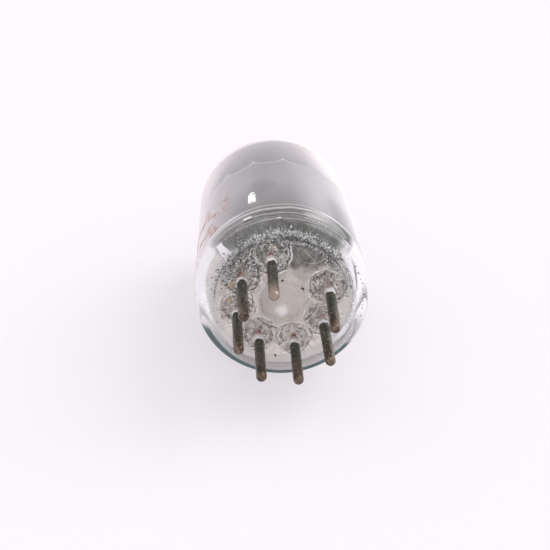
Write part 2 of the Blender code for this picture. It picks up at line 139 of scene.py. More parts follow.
def add_object(name, data):
    made = bpy.data.objects.new(name, data)
    bpy.context.scene.collection.objects.link(made)
    return made


class Shell:
    """Points and faces gathered in lists, which builds meshes of many small parts quickly."""

    def __init__(self):
        self.points, self.faces, self.kinds = [], [], []

    def face(self, corners, kind=0):
        self.faces.append(corners)
        self.kinds.append(kind)

    def surface(self, rings, sectors, inward=False, kind_of=None):
        """Joins rings, each (radius, place), where place(angle) gives a point. A radius of 0 is a pole."""
        made = []
        for r, place in rings:
            count = 1 if r < 1e-9 else sectors
            start = len(self.points)
            self.points += [place(2 * math.pi * j / sectors) for j in range(count)]
            made.append(range(start, start + count))
        for i, (low, high) in enumerate(zip(made, made[1:])):
            kind = kind_of(i) if kind_of else 0
            for j in range(sectors):
                k = (j + 1) % sectors
                if len(low) == 1:
                    corners = [low[0], high[k], high[j]]
                elif len(high) == 1:
                    corners = [low[j], low[k], high[0]]
                else:
                    corners = [low[j], low[k], high[k], high[j]]
                self.face(corners[::-1] if inward else corners, kind)

    def ball(self, centre, radii, inward=False, kind=0, fineness=1, rough=0.0):
        """A small round body. rough is how far its points stray, as a share of its radii."""
        radii = radii if isinstance(radii, tuple) else (radii,) * 3
        start = len(self.points)
        points, faces = BALLS[fineness]
        for point in points:
            stray = 1 + rough * noise.noise(point * 1.7 + centre * 4000)
            self.points.append(centre + Vector(c * r * stray for c, r in zip(point, radii)))
        for corners in faces:
            corners = [start + c for c in corners]
            self.face(corners[::-1] if inward else corners, kind)

    def tube(self, path, radius, sides=6, kind=0):
        """A round wire along a path, closed at both ends."""
        start = len(self.points)
        side = None
        for i, centre in enumerate(path):
            ahead = (path[min(i + 1, len(path) - 1)] - path[max(i - 1, 0)]).normalized()
            if side is None:
                side = ahead.orthogonal().normalized()
            side = (side - ahead * side.dot(ahead)).normalized()
            other = ahead.cross(side)
            for j in range(sides):
                turn = 2 * math.pi * j / sides
                self.points.append(centre + (side * math.cos(turn) + other * math.sin(turn)) * radius)
        for i in range(len(path) - 1):
            for j in range(sides):
                k = (j + 1) % sides
                a, b = start + i * sides, start + (i + 1) * sides
                self.face([a + j, a + k, b + k, b + j], kind)
        last = start + (len(path) - 1) * sides
        self.face([start + j for j in reversed(range(sides))], kind)
        self.face([last + j for j in range(sides)], kind)

    def finish(self, name, materials):
        """The smooth-shaded piece. A face's kind is the place of its material in the list."""
        mesh = bpy.data.meshes.new(name)
        mesh.from_pydata([tuple(point) for point in self.points], [], self.faces)
        for made in materials:
            mesh.materials.append(made)
        mesh.polygons.foreach_set("material_index", self.kinds)
        mesh.shade_smooth()
        mesh.update()
        return add_object(name, mesh)


def ride(piece, slot, *replaced):
    """Puts a piece on the tube's only body, in place of the CAD nodes named. The slot is not used."""
    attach(piece, ROOT)
    if replaced:
        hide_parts(*replaced)


def profile_ring(r, y, relief=None):
    """A ring of the tube at radius r and place y, lifted along the tube by relief(point)."""

    def place(angle):
        out = around(r, angle, y)
        if relief:
            out.y += relief(out)
        return out

    return r, place


def catmull(points, per_span):
    """A smooth curve through points, with per_span steps between neighbours."""
    padded = [points[0], *points, points[-1]]
    out = []
    for a, b, c, d in zip(padded, padded[1:], padded[2:], padded[3:]):
        for i in range(per_span):
            t = i / per_span
            row = []
            for p, q, r, s in zip(a, b, c, d):
                bend = (2 * p - 5 * q + 4 * r - s) * t * t + (3 * q - p - 3 * r + s) * t**3
                row.append(0.5 * (2 * q + (r - p) * t + bend))
            out.append(tuple(row))
    return out + [tuple(points[-1])]


# ---- Material helpers ----


class Nodes:
    """A short way to write a node tree. Its places and distances are in millimetres.

    surface is the shader made so far, which coats are laid over.
    """

    def __init__(self, name):
        self.material = bpy.data.materials.new(name)
        self.material.use_nodes = True
        self.tree = self.material.node_tree
        self.shader = self.tree.nodes["Principled BSDF"]
        self.output = self.tree.nodes["Material Output"]
        self.surface = self.shader.outputs[0]
        self.place = self.add("ShaderNodeTexCoord").outputs["Object"]
        scaled = {"Vector": self.place, "Scale": 1 / MM}
        millimetres = self.add("ShaderNodeVectorMath", scaled, operation="SCALE").outputs["Vector"]
        self.across, self.along, self.up = self.add("ShaderNodeSeparateXYZ", {0: millimetres}).outputs

    def add(self, kind, inputs=None, **properties):
        """A node. Its inputs are given by name or number, as sockets to link or as values."""
        node = self.tree.nodes.new(kind)
        for key, value in properties.items():
            setattr(node, key, value)
        for key, value in (inputs or {}).items():
            self.put(value, node.inputs[key])
        return node

    def put(self, value, socket):
        """Links a socket, or sets a number or colour."""
        if isinstance(value, bpy.types.NodeSocket):
            self.tree.links.new(value, socket)
        elif isinstance(value, tuple):
            socket.default_value = value if len(value) == len(socket.default_value) else (*value, 1)
        else:
            socket.default_value = value

    def set(self, **values):
        for name, value in values.items():
            self.put(value, self.shader.inputs[name.replace("_", " ")])

    def noise(self, scale, detail=4.0, roughness=0.55, distortion=0.0, stretch=None, vector=None):
        inputs = {"Scale": scale, "Detail": detail, "Roughness": roughness, "Distortion": distortion}
        inputs["Vector"] = vector or self.place
        if stretch:
            mapping = self.add("ShaderNodeMapping", {"Vector": self.place, "Scale": stretch})
            inputs["Vector"] = mapping.outputs["Vector"]
        return self.add("ShaderNodeTexNoise", inputs).outputs["Fac"]

    def spots(self, scale):
        return self.add("ShaderNodeTexVoronoi", {"Vector": self.place, "Scale": scale}).outputs["Distance"]

    def ramp(self, source, *stops):
        """Stops are (position, colour), each colour a grey level or (r, g, b)."""
        node = self.add("ShaderNodeValToRGB", {"Fac": source})
        elements = node.color_ramp.elements
        while len(elements) < len(stops):
            elements.new(0.5)
        for element, (position, colour) in zip(elements, stops):
            element.position = position
            grey = isinstance(colour, (int, float))
            element.color = (colour, colour, colour, 1) if grey else (*colour, 1)
        return node.outputs["Color"]

    def mix(self, factor, first, second, blend="MIX"):
        inputs = {0: factor, 6: first, 7: second}  # where a mix of colours has its factor and its colours
        return self.add("ShaderNodeMix", inputs, data_type="RGBA", blend_type=blend).outputs[2]

    def math(self, operation, first, second=0.0):
        return self.add("ShaderNodeMath", {0: first, 1: second}, operation=operation).outputs[0]

    def chain(self, operation, values):
        out = values[0]
        for value in values[1:]:
            out = self.math(operation, out, value)
        return out

    def times(self, *values):
        return self.chain("MULTIPLY", values)

    def plus(self, *values):
        return self.chain("ADD", values)

    def minus(self, first, second):
        return self.math("SUBTRACT", first, second)

    def most(self, *values):
        return self.chain("MAXIMUM", values)

    def size(self, source):
        return self.math("ABSOLUTE", source)

    def span(self, source, low, high):
        """0 at low and 1 at high, with an eased rise between. low may be above high, for a fall."""
        inputs = {"Value": source, "From Min": min(low, high), "From Max": max(low, high)}
        if low > high:
            inputs |= {"To Min": 1, "To Max": 0}
        return self.add("ShaderNodeMapRange", inputs, interpolation_type="SMOOTHSTEP").outputs["Result"]

    def stripe(self, source, middle, half_width, core):
        """1 where source is near middle, 0 past half_width, with a full core of that share of the width."""
        return self.span(self.size(self.minus(source, middle)), half_width, core * half_width)

    def distance(self, x, z):
        """Distance from the line along the tube through (x, z)."""
        across, up = self.minus(self.across, x), self.minus(self.up, z)
        return self.math("SQRT", self.plus(self.times(across, across), self.times(up, up)))

    def pin_distance(self, k):
        return self.distance(PIN_CENTRES[k].x / MM, PIN_CENTRES[k].z / MM)

    def ragged(self, source, scale, reach, detail=4.0):
        """The source with a noise from -reach to reach added, to roughen an edge."""
        wander = self.times(self.minus(self.noise(scale, detail), 0.5), 2 * reach)
        return self.plus(source, wander)

    def bump(self, height, distance, strength=1.0, normal=None):
        inputs = {"Height": height, "Distance": distance * MM, "Strength": strength}
        if normal:
            inputs["Normal"] = normal
        return self.add("ShaderNodeBump", inputs).outputs["Normal"]

    def bsdf(self, kind, colour):
        return self.add(f"ShaderNodeBsdf{kind}", {"Color": colour}).outputs[0]

    def blend(self, factor, first, second):
        """Mixes two shaders."""
        return self.add("ShaderNodeMixShader", {0: factor, 1: first, 2: second}).outputs[0]

    def coat(self, factor, colour):
        """Lays a matt colour over the surface, as thick as factor."""
        self.surface = self.blend(factor, self.surface, self.bsdf("Diffuse", colour))

    def finish(self):
        self.put(self.surface, self.output.inputs["Surface"])
        return self.material


# ---- Glass materials ----

GLASS_IOR = 1.5
GLASS_COLOUR = (0.45, 0.78, 0.77, 1)
GLASS_DENSITY = 9.0
UNBENT = (0.965, 0.965, 0.965)  # share of soft light that passes a wall of glass


def glass_nodes(name):
    n = Nodes(name)
    n.set(Transmission_Weight=1.0, IOR=GLASS_IOR, Base_Color=(1, 1, 1))
    return n


def finish_glass(n):
    """Adds the faint green of a long path, and lets soft light through unbent to what lies behind."""
    volume = n.add("ShaderNodeVolumeAbsorption", {"Color": GLASS_COLOUR, "Density": GLASS_DENSITY})
    n.put(volume.outputs[0], n.output.inputs["Volume"])
    path = n.add("ShaderNodeLightPath")
    soft = n.most(path.outputs["Is Shadow Ray"], path.outputs["Is Diffuse Ray"])
    n.surface = n.blend(soft, n.surface, n.bsdf("Transparent", UNBENT))
    return n.finish()


def add_dust_and_edge_sheen(n, facing):
    """A thin dust, and painted sheen where the glass is seen edge on, which makes the outline of the dome
    pale.
    """
    specks = n.ramp(n.spots(2600), (0.0, 1.0), (0.13, 0.0))
    patches = n.ramp(n.noise(300, 5), (0.5, 0.02), (0.75, 0.35))
    # Painted sheen: pale where the wall and the dome are seen edge on.
    wall_edge_sheen = n.times(n.ramp(facing, (0.5, 0.0), (0.97, 0.8)), n.span(n.along, 3.5, 6))
    dome_edge_sheen = n.times(n.ramp(facing, (0.40, 0.0), (0.60, 0.9)), n.span(n.along, 15, 23))
    dust_and_sheen = n.most(n.times(specks, patches), n.plus(n.most(wall_edge_sheen, dome_edge_sheen), 0.015))
    n.coat(dust_and_sheen, n.mix(dome_edge_sheen, (0.93, 0.90, 0.905), (0.90, 0.845, 0.83)))


def add_rubs(n, outside):
    """Red-brown rubs, the rest of a worn print, low on the left of the wall."""
    left = n.times(n.span(n.across, -4.6, -6.6), n.span(n.up, -2.5, 0.5))
    stretch = n.times(n.span(n.along, 3.6, 5.0), n.span(n.along, 15, 9))
    streaks = n.ramp(n.noise(620, 6, 0.72, 0.6, stretch=(1, 0.55, 1)), (0.51, 0.0), (0.60, 1.0))
    n.coat(n.times(left, stretch, streaks, outside, 0.75), (0.46, 0.18, 0.12))


WAIST_REFLECTIONS = (  # painted glints and reflections at the waist: across, up, reach, place, half width (mm), colour, strength
    (-3.35, 7.90, 0.55, 3.12, 0.13, (0.97, 0.96, 0.97), 0.75),
    (-3.30, 7.90, 0.60, 2.88, 0.10, (0.10, 0.10, 0.09), 0.6),
    (-1.60, 8.20, 0.70, 1.75, 0.45, (0.40, 0.44, 0.48), 0.75),
    (-0.35, 8.35, 0.20, 2.25, 0.16, (0.93, 0.93, 0.93), 0.7),
    (-5.75, 6.15, 0.60, 1.90, 0.40, (1.0, 0.99, 1.0), 0.95),
    (6.00, 5.85, 0.70, 1.45, 0.30, (1.0, 0.99, 1.0), 0.95),
)


def add_waist_reflections(n, outside):
    """Painted glints and reflections on the outside, each a short piece of a ring."""
    for x, z, reach, place, width, colour, strength in WAIST_REFLECTIONS:
        line = n.stripe(n.ragged(n.along, 800, 0.1), place, width, 0.6)
        near = n.span(n.ragged(n.distance(x, z), 900, 0.3), reach, 0.75 * reach)
        n.coat(n.times(near, line, outside, strength), colour)


SHOULDER_HIGHLIGHTS = (  # painted highlight rings where the wall turns: place, half width (mm), strength, open in the middle
    (4.20, 0.17, 0.85, True),
    (1.55, 0.11, 0.70, False),
)


def add_shoulder_highlights(n, outside):
    """Painted highlight rings at the waist and shoulder, on the upper side."""
    beside = n.span(n.size(n.plus(n.across, 0.3)), 3.0, 5.2)
    for place, width, strength, open_middle in SHOULDER_HIGHLIGHTS:
        ring = n.stripe(n.ragged(n.along, 300, 0.12), place, width, 0.45)
        line = n.times(ring, n.span(n.up, 1.2, 3.0), outside, strength)
        n.coat(n.times(line, beside) if open_middle else line, (0.97, 0.95, 0.95))


def add_rim_edge_shade(n, facing):
    """Painted shade along the lower side of the rim, where the glass is seen edge on: a dark line tinted
    green like the glass.
    """
    lower = n.plus(n.up, n.times(n.across, 0.155))
    start = n.plus(n.times(n.span(n.across, -7.5, -2.5), 0.06), 0.145)
    line = n.times(n.span(n.minus(facing, start), -0.02, 0.02), n.span(lower, -3.3, -4.2))
    n.coat(n.times(line, n.span(n.along, 1.9, 1.4), 0.9), (0.085, 0.135, 0.135))


def clear_glass():
    """The bulb's glass, the marks on its outside, and the painted sheen, highlights, reflections and edge
    shade on it.
    """
    n = glass_nodes("clear_glass")
    ripple = n.bump(n.noise(1100, 2), 0.004, 0.7)
    n.set(Normal=n.bump(n.noise(180, 2), 0.02, 0.6, ripple))
    n.set(Roughness=n.ramp(n.noise(420, 5, stretch=(1, 0.5, 1)), (0.40, 0.02), (0.70, 0.085)))
    facing = n.add("ShaderNodeLayerWeight", {"Blend": 0.25}).outputs["Facing"]
    outside = n.span(n.distance(0, 0), 8.15, 8.3)
    add_dust_and_edge_sheen(n, facing)
    add_rubs(n, outside)
    add_waist_reflections(n, outside)
    add_shoulder_highlights(n, outside)
    add_rim_edge_shade(n, facing)
    return finish_glass(n)


def add_veil(n):
    """The dull skin that the mould leaves on the button's inner face."""
    veil = n.blend(0.68, n.bsdf("Translucent", (1.0, 0.90, 0.79)), n.bsdf("Diffuse", (1.0, 0.90, 0.80)))
    cloudy = n.ramp(n.noise(800, 6, 0.72), (0.38, 0.48), (0.68, 0.76))
    n.surface = n.blend(cloudy, n.surface, veil)


def add_disc(n):
    """The smooth round patch in the middle, with painted shade on its left."""
    disc = n.span(n.ragged(n.distance(0.15, -0.5), 600, 0.15), 2.7, 2.45)
    # Painted shade: the patch is darker on its left.
    lit = n.span(n.ragged(n.across, 500, 0.6), -2.4, 0.6)
    n.coat(n.times(disc, 0.72), n.mix(lit, (0.42, 0.38, 0.345), (0.60, 0.545, 0.495)))


def add_upper_shade(n):
    """Painted shade: a dark speckled patch at the upper right, and a dark band along the top."""
    # Painted shade, laid on as a dark speckled coat.
    upper_right_shade = n.span(n.ragged(n.distance(2.3, 5.6), 420, 1.1, 5), 3.1, 1.9)
    band = n.times(n.span(n.distance(0, 0), 5.4, 6.2), n.span(n.up, 1.8, 4.2))
    speckle = n.ramp(n.noise(1700, 4, 0.7), (0.40, 1.0), (0.64, 0.6))
    n.coat(n.times(n.most(upper_right_shade, band), speckle, 0.97), (0.085, 0.08, 0.068))


def add_steep_shade(n, upper):
    """Painted shade and highlight where the face is steep, mottled, and darker in the upper half."""
    normal = n.add("ShaderNodeNewGeometry").outputs["Normal"]
    leaning = n.add("ShaderNodeSeparateXYZ", {0: normal}).outputs["Y"]
    steep = n.span(n.size(leaning), 0.93, 0.64)
    mottle = n.ramp(n.noise(2100, 4, 0.75), (0.45, 0.0), (0.57, 1.0))
    darkest = n.mix(upper, (0.17, 0.155, 0.135), (0.055, 0.05, 0.04))
    n.coat(n.times(steep, 0.8), n.mix(mottle, darkest, (0.96, 0.89, 0.82)))


CALM_PIN = 3  # the lead with the least cloud around it
COMBED_PIN = 6  # the lead with dark hairs on its outer side

MOUND_EDGE_SHADING = (  # painted shade and highlight lines at each mound's edge: radius and half width (mm), colour, strength
    (1.78, 0.13, (0.075, 0.062, 0.04), 0.92),
    (1.58, 0.16, (1.0, 0.97, 0.95), 0.9),
    (1.97, 0.14, (1.0, 0.97, 0.95), 0.8),
    (1.30, 0.09, (0.10, 0.08, 0.05), 0.6),
)


def add_mound_marks(n, upper):
    """Dark clouds and pale curls in the glass around each lead, and broken rings of painted shade and
    highlight around it, stronger on the upper side.
    """
    near = n.chain("MINIMUM", [n.pin_distance(k) for k in PIN_NUMBERS])
    near = n.ragged(near, 480, 0.75, 5)
    mound = n.span(near, 1.75, 1.45)
    cloud = n.ramp(n.noise(1700, 5, 0.75), (0.43, 0.9), (0.56, 0.1))
    calm = n.span(n.pin_distance(CALM_PIN), 1.3, 2.2)
    n.coat(n.times(mound, cloud, n.plus(n.times(calm, 0.55), 0.30)), (0.12, 0.10, 0.07))
    curls = n.ramp(n.noise(1350, 4, 0.7, 1.0), (0.56, 0.0), (0.61, 0.85))
    n.coat(n.times(mound, curls), (1.0, 0.955, 0.90))
    broken = n.ramp(n.noise(900, 4, 0.7), (0.42, 0.0), (0.50, 1.0))
    # Painted shade and highlight lines ring each mound.
    for radius, width, colour, strength in MOUND_EDGE_SHADING:
        ring = n.stripe(near, radius, width, 0.4)
        n.coat(n.times(ring, broken, strength, n.plus(n.times(upper, 0.45), 0.55)), colour)


def add_combed_hairs(n):
    """Dark hairs that fan out from one lead, on its upper and outer side."""
    across = n.minus(n.across, PIN_CENTRES[COMBED_PIN].x / MM)
    up = n.minus(n.up, PIN_CENTRES[COMBED_PIN].z / MM)
    reach = n.pin_distance(COMBED_PIN)
    turn = n.math("ARCTAN2", n.minus(0.0, up), n.minus(0.0, across))
    combed = n.add("ShaderNodeCombineXYZ", {0: n.times(turn, 6.5), 1: reach})
    hair = n.noise(1.6, 3, 0.5, vector=combed.outputs[0])
    begun = n.span(reach, 0.9, 1.2)
    ended = n.span(n.ragged(reach, 900, 0.4), 2.2, 1.9)
    fan = n.times(begun, ended, n.span(n.minus(up, n.times(across, 0.8)), -0.9, 0.1))
    n.coat(n.times(fan, 0.85), n.ramp(hair, (0.48, (0.035, 0.032, 0.023)), (0.545, (0.88, 0.84, 0.80))))


def pressed_glass():
    """The button's inner face, which is seen through the clear glass in front of it."""
    n = glass_nodes("pressed_glass")
    n.set(Roughness=n.ramp(n.noise(1400, 5, 0.65), (0.35, 0.02), (0.7, 0.16)))
    fine = n.bump(n.noise(2600, 4, 0.6), 0.02, 0.6)
    n.set(Normal=n.bump(n.noise(1000, 5, 0.65, 0.8), 0.07, 0.9, fine))
    # Painted shade is stronger in the upper half.
    upper = n.span(n.up, 0.0, 2.5)
    add_veil(n)
    add_disc(n)
    add_upper_shade(n)
    add_steep_shade(n, upper)
    add_mound_marks(n, upper)
    add_combed_hairs(n)
    return finish_glass(n)


def seal_lines(n):
    """Where the seal has a thin dark line: inside at the upper left, and outside on the right."""
    radius = n.ragged(n.distance(0, 0), 700, 0.10)
    inner = n.times(n.stripe(radius, 6.86, 0.09, 1 / 3), n.span(n.across, -1, -4), n.span(n.up, -1, 1))
    outer = n.times(n.stripe(radius, 7.42, 0.045, 4 / 9), n.span(n.across, 4, 6),
                    n.span(n.up, -1, 1.5), n.span(n.up, 4.2, 2.6))
    return n.times(n.most(inner, outer), 0.75)


def seal_skin():
    """The inside corner where bulb and button were fused: beige, with painted white reflections further in,
    and dark on top.
    """
    n = glass_nodes("seal_skin")
    n.set(Roughness=0.05, Normal=n.bump(n.noise(700, 3), 0.02, 0.6))
    # A painted white reflection patch at the upper left.
    painted_white_patch = n.span(n.ragged(n.distance(-5.3, 4.65), 900, 0.3), 0.52, 0.38)
    height = n.ragged(n.plus(n.up, n.times(n.size(n.across), 0.10)), 500, 1.0)
    # Darker on top, except in the white patch.
    dark_top = n.times(n.span(height, 4.9, 5.9), n.minus(1.0, painted_white_patch))
    # Painted reflection: white further in, except low down.
    further_in = n.span(n.plus(n.along, n.times(n.across, 0.0147)), 2.19, 2.23)
    not_low = n.span(n.plus(n.up, n.times(n.across, 0.15)), -4.65, -3.45)
    white = n.most(n.times(further_in, not_low), painted_white_patch)
    beige = n.ramp(n.noise(900, 5, 0.7), (0.35, (0.69, 0.65, 0.62)), (0.65, (0.79, 0.745, 0.715)))
    skin = n.bsdf("Diffuse", n.mix(white, beige, (1.0, 0.985, 0.99)))
    skin = n.blend(seal_lines(n), skin, n.bsdf("Diffuse", (0.07, 0.075, 0.07)))
    skin = n.blend(dark_top, skin, n.bsdf("Diffuse", (0.088, 0.088, 0.072)))
    dark_top_grain = n.ramp(n.noise(900, 5, 0.7), (0.35, 0.55), (0.65, 0.95))
    cover = n.most(n.times(n.minus(1.0, dark_top), 0.9), n.times(dark_top, dark_top_grain))
    n.surface = n.blend(cover, n.surface, skin)
    return finish_glass(n)


def face_glass():
    """The button's outer face: clear, finely scratched, with a small painted highlight near the middle."""
    n = glass_nodes("face_glass")
    scratches = n.ramp(n.noise(500, 3, 0.6, 1.2, stretch=(1, 1, 0.12)), (0.62, 0.0), (0.66, 1.0))
    crossing = n.ramp(n.noise(430, 3, 0.6, 1.4, stretch=(0.1, 1, 1)), (0.63, 0.0), (0.67, 1.0))
    lines = n.most(scratches, crossing)
    n.set(Roughness=n.times(lines, 0.25), Normal=n.bump(n.noise(700, 3), 0.012, 0.5))
    # A painted highlight near the middle of the face.
    middle_highlight = n.span(n.ragged(n.distance(-0.15, -0.75), 1500, 0.35), 0.85, 0.35)
    dust = n.ramp(n.noise(3300, 3, 0.7), (0.66, 0.0), (0.72, 0.5))
    n.coat(n.most(n.times(middle_highlight, 0.7), n.times(lines, 0.10), dust), (0.93, 0.91, 0.90))
    return finish_glass(n)


def bubble_skin():
    n = glass_nodes("bubble_skin")
    n.set(Roughness=0.02)
    n.coat(n.ramp(n.noise(1500, 2), (0.42, 0.0), (0.62, 0.35)), (0.9, 0.9, 0.88))
    return finish_glass(n)


def pale_seal():
    """Glass gone white with fine bubbles against the metal."""
    n = Nodes("pale_seal")
    grain = n.noise(3200, 5, 0.75)
    n.set(Base_Color=n.ramp(grain, (0.36, (0.50, 0.46, 0.43)), (0.55, (0.93, 0.92, 0.91))))
    n.set(Roughness=0.6, Normal=n.bump(grain, 0.03, 0.8))
    return n.material


# ---- Metal, mica and dirt ----

BRIGHT_PIN = 7  # the pin whose tip catches the light


def pin_metal():
    """Dark oxidised alloy: olive grey at the root, browner towards the tip, with a painted highlight on one
    pin's tip.
    """
    n = Nodes("pin_metal")
    along = n.times(n.along, -1.0)
    mottle = n.noise(1300, 6, 0.65, stretch=(1, 0.35, 1))
    tip = n.span(n.ragged(along, 500, 1.2), 2.8, 6.6)
    root_colour = n.ramp(mottle, (0.32, (0.026, 0.030, 0.021)), (0.68, (0.085, 0.088, 0.064)))
    tip_colour = n.ramp(mottle, (0.32, (0.026, 0.017, 0.012)), (0.68, (0.20, 0.145, 0.105)))
    # A painted highlight, a lighter brown, on one pin's tip.
    painted_tip_light = n.times(n.span(n.pin_distance(BRIGHT_PIN), 1.2, 0.8), tip, 0.85)
    tip_colour = n.mix(painted_tip_light, tip_colour, (0.36, 0.29, 0.235))
    colour = n.mix(tip, root_colour, tip_colour)
    scratches = n.ramp(n.noise(900, 3, 0.7, 0.4, stretch=(3, 0.12, 3)), (0.60, 0.0), (0.68, 1.0))
    flecks = n.ramp(n.noise(4200, 3, 0.75), (0.57, 0.0), (0.64, 1.0))
    worn = n.most(n.times(scratches, 0.45), n.times(flecks, 0.75))
    colour = n.mix(worn, colour, (0.40, 0.37, 0.31))
    pits = n.ramp(n.noise(3000, 4, 0.75), (0.33, 1.0), (0.40, 0.0))
    colour = n.mix(n.times(pits, 0.7), colour, (0.012, 0.012, 0.010))
    in_glass = n.span(n.ragged(along, 2500, 0.3), -0.05, -0.25)
    skin = n.ramp(n.noise(2300, 5, 0.75), (0.40, (0.30, 0.22, 0.19)), (0.56, (0.74, 0.66, 0.62)))
    metallic = n.times(n.ramp(tip, (0.0, 0.4), (1.0, 0.8)), n.minus(1.0, in_glass))
    n.set(Base_Color=n.mix(in_glass, colour, skin), Metallic=metallic, Specular_IOR_Level=0.35)
    n.set(Roughness=n.ramp(n.minus(mottle, n.times(tip, 0.15)), (0.2, 0.20), (0.7, 0.50)))
    n.set(Normal=n.bump(n.noise(2600, 5, 0.7), 0.03, 0.8))
    return n.material


def sheet_nickel():
    n = Nodes("sheet_nickel")
    cloud = n.ramp(n.noise(260), (0.35, 0.0), (0.7, 1.0))
    n.set(Base_Color=n.mix(cloud, (0.4056, 0.3939, 0.3939), (0.52, 0.505, 0.505)), Metallic=0.85)
    n.set(Roughness=n.ramp(n.noise(700, 4), (0.3, 0.38), (0.7, 0.55)))
    n.set(Normal=n.bump(n.noise(500, 3), 0.03, 0.5))
    return n.material


def wire_metal(name, colour, roughness=0.35):
    n = Nodes(name)
    grain = n.noise(1800, 4, stretch=(1, 0.3, 1))
    darker = tuple(c * 0.6 for c in colour)
    n.set(Base_Color=n.mix(grain, darker, colour), Metallic=0.9)
    n.set(Roughness=n.ramp(grain, (0.3, roughness * 0.8), (0.7, roughness * 1.3)))
    return n.material


def seal_copper():
    """Copper skin oxidised by the glass: red in patches, pale and pinkish between them."""
    n = Nodes("seal_copper")
    patch = n.noise(1900, 5, 0.7)
    pale, red, brown = (0.66, 0.57, 0.53), (0.42, 0.14, 0.11), (0.22, 0.075, 0.05)
    n.set(Base_Color=n.ramp(patch, (0.43, pale), (0.50, red), (0.62, brown)))
    n.set(Roughness=0.55, Normal=n.bump(patch, 0.03, 0.7))
    return n.material


def matt(name, colour, dark=0.75, scale=1500):
    """A dull finish that varies between a colour and that colour darkened."""
    n = Nodes(name)
    grain = n.noise(scale, 5, 0.65)
    darker = tuple(c * dark for c in colour)
    n.set(Base_Color=n.mix(grain, darker, colour), Roughness=0.9)
    n.set(Normal=n.bump(grain, 0.02, 0.7))
    return n.material


def mica_sheet():
    n = Nodes("mica_sheet")
    layers = n.noise(420, 5, 0.6)
    n.set(Base_Color=n.ramp(layers, (0.3, (0.76, 0.715, 0.70)), (0.7, (0.90, 0.865, 0.85))))
    n.set(Roughness=n.ramp(layers, (0.3, 0.25), (0.7, 0.55)))
    n.set(Normal=n.bump(layers, 0.02, 0.5))
    return n.material


# ---- Getter film material ----

SCALLOP_LOW = 1.08  # millimetres from the upper mica down to the mirror's edge between two teeth
SCALLOP_RISE = 0.95  # millimetres from there up to the edge at a tooth


def film_scallops(n):
    """The pale line along the mirror's edge, which peaks at each tooth of the mica, and the mirror."""
    turn = n.math("ARCTAN2", n.up, n.across)
    step = 2 * math.pi / MICA_TEETH
    place = n.math("FRACT", n.plus(n.times(turn, 1 / step), 0.5 - TOOTH_ANGLE / step + MICA_TEETH))
    near_tooth = n.minus(1.0, n.times(n.size(n.minus(place, 0.5)), 2.0))
    edge = n.plus(n.times(n.math("POWER", near_tooth, 3.3), SCALLOP_RISE), UPPER_MICA / MM - SCALLOP_LOW)
    above = n.minus(n.along, edge)
    strength = n.plus(n.times(n.math("POWER", near_tooth, 8.0), 0.75), 0.22)
    line = n.times(n.span(n.size(above), 0.30, 0.05), strength)
    return line, n.span(above, -0.05, 0.35)


BLOOM_TONES = (  # the film's grey with painted shade and light across it: share of the way across from left to right, colour
    (0.04, (0.66, 0.63, 0.63)),
    (0.22, (0.42, 0.40, 0.405)),
    (0.42, (0.27, 0.262, 0.262)),
    (0.56, (0.30, 0.29, 0.29)),
    (0.70, (0.48, 0.46, 0.465)),
    (0.86, (0.70, 0.68, 0.68)),
    (0.97, (0.88, 0.86, 0.87)),
)

NECK_REFLECTIONS = (  # thin rings of painted reflection on the film above the seal: place and half width (mm), strength, colour
    (5.15, 0.18, 0.50, (0.60, 0.585, 0.585)),
    (4.85, 0.20, 0.55, (0.10, 0.10, 0.09)),
    (4.50, 0.17, 0.75, (0.64, 0.625, 0.62)),
    (4.15, 0.17, 0.55, (0.12, 0.125, 0.115)),
    (3.75, 0.16, 0.70, (0.66, 0.645, 0.635)),
    (3.45, 0.15, 0.45, (0.13, 0.13, 0.12)),
    (3.05, 0.22, 0.80, (0.70, 0.685, 0.68)),
)


def bloom_shades(n, tone):
    """Painted shade low on the wall, a dark smudge near the middle, and painted light beside the neck."""
    # Painted shade low on the wall.
    low = n.times(n.span(n.ragged(n.along, 200, 2), 13, 5), n.span(n.across, 5, 1))
    low = n.times(low, n.span(n.across, -7, -3.5), n.span(n.up, 1, 5))
    tone = n.mix(n.times(low, 0.5), tone, (0.085, 0.085, 0.08))
    # Painted light beside the neck.
    neck = n.times(n.span(n.along, 5.6, 4.8), n.span(n.size(n.across), 1.5, 4.5), 0.4)
    tone = n.mix(neck, tone, (0.78, 0.76, 0.76))
    beside, beyond = n.plus(n.across, 1.6), n.times(n.minus(n.along, 10.3), 0.6)
    apart = n.math("SQRT", n.plus(n.times(beside, beside), n.times(beyond, beyond)))
    smudge = n.span(n.ragged(apart, 500, 0.8), 1.9, 0.5)
    return n.mix(n.times(smudge, n.span(n.up, 2, 4), 0.5), tone, (0.12, 0.12, 0.115))


def neck_reflection_rings(n, tone):
    """Painted reflections in rings above the seal, which show only on the upper side."""
    high = n.span(n.up, 4.2, 6.0)
    for place, width, strength, colour in NECK_REFLECTIONS:
        ring = n.stripe(n.ragged(n.along, 350, 0.35), place, width, 0.4)
        tone = n.mix(n.times(ring, high, strength), tone, colour)
    return tone


def mirror_shades(n, tone, side, line, mirror):
    """The dark mirror and its pale edge, which both fade out towards the sides and below."""
    left = n.span(side, -7.2, -5.4)
    wide_dome = n.most(left, n.span(n.along, 20.5, 23))
    seen = n.times(mirror, n.span(side, 5.0, 2.5), wide_dome, n.span(n.up, -6.5, -3))
    tone = n.mix(seen, tone, (0.27, 0.256, 0.258))
    return n.mix(n.times(line, n.span(side, 4.5, 1.5), left), tone, (0.80, 0.79, 0.80))


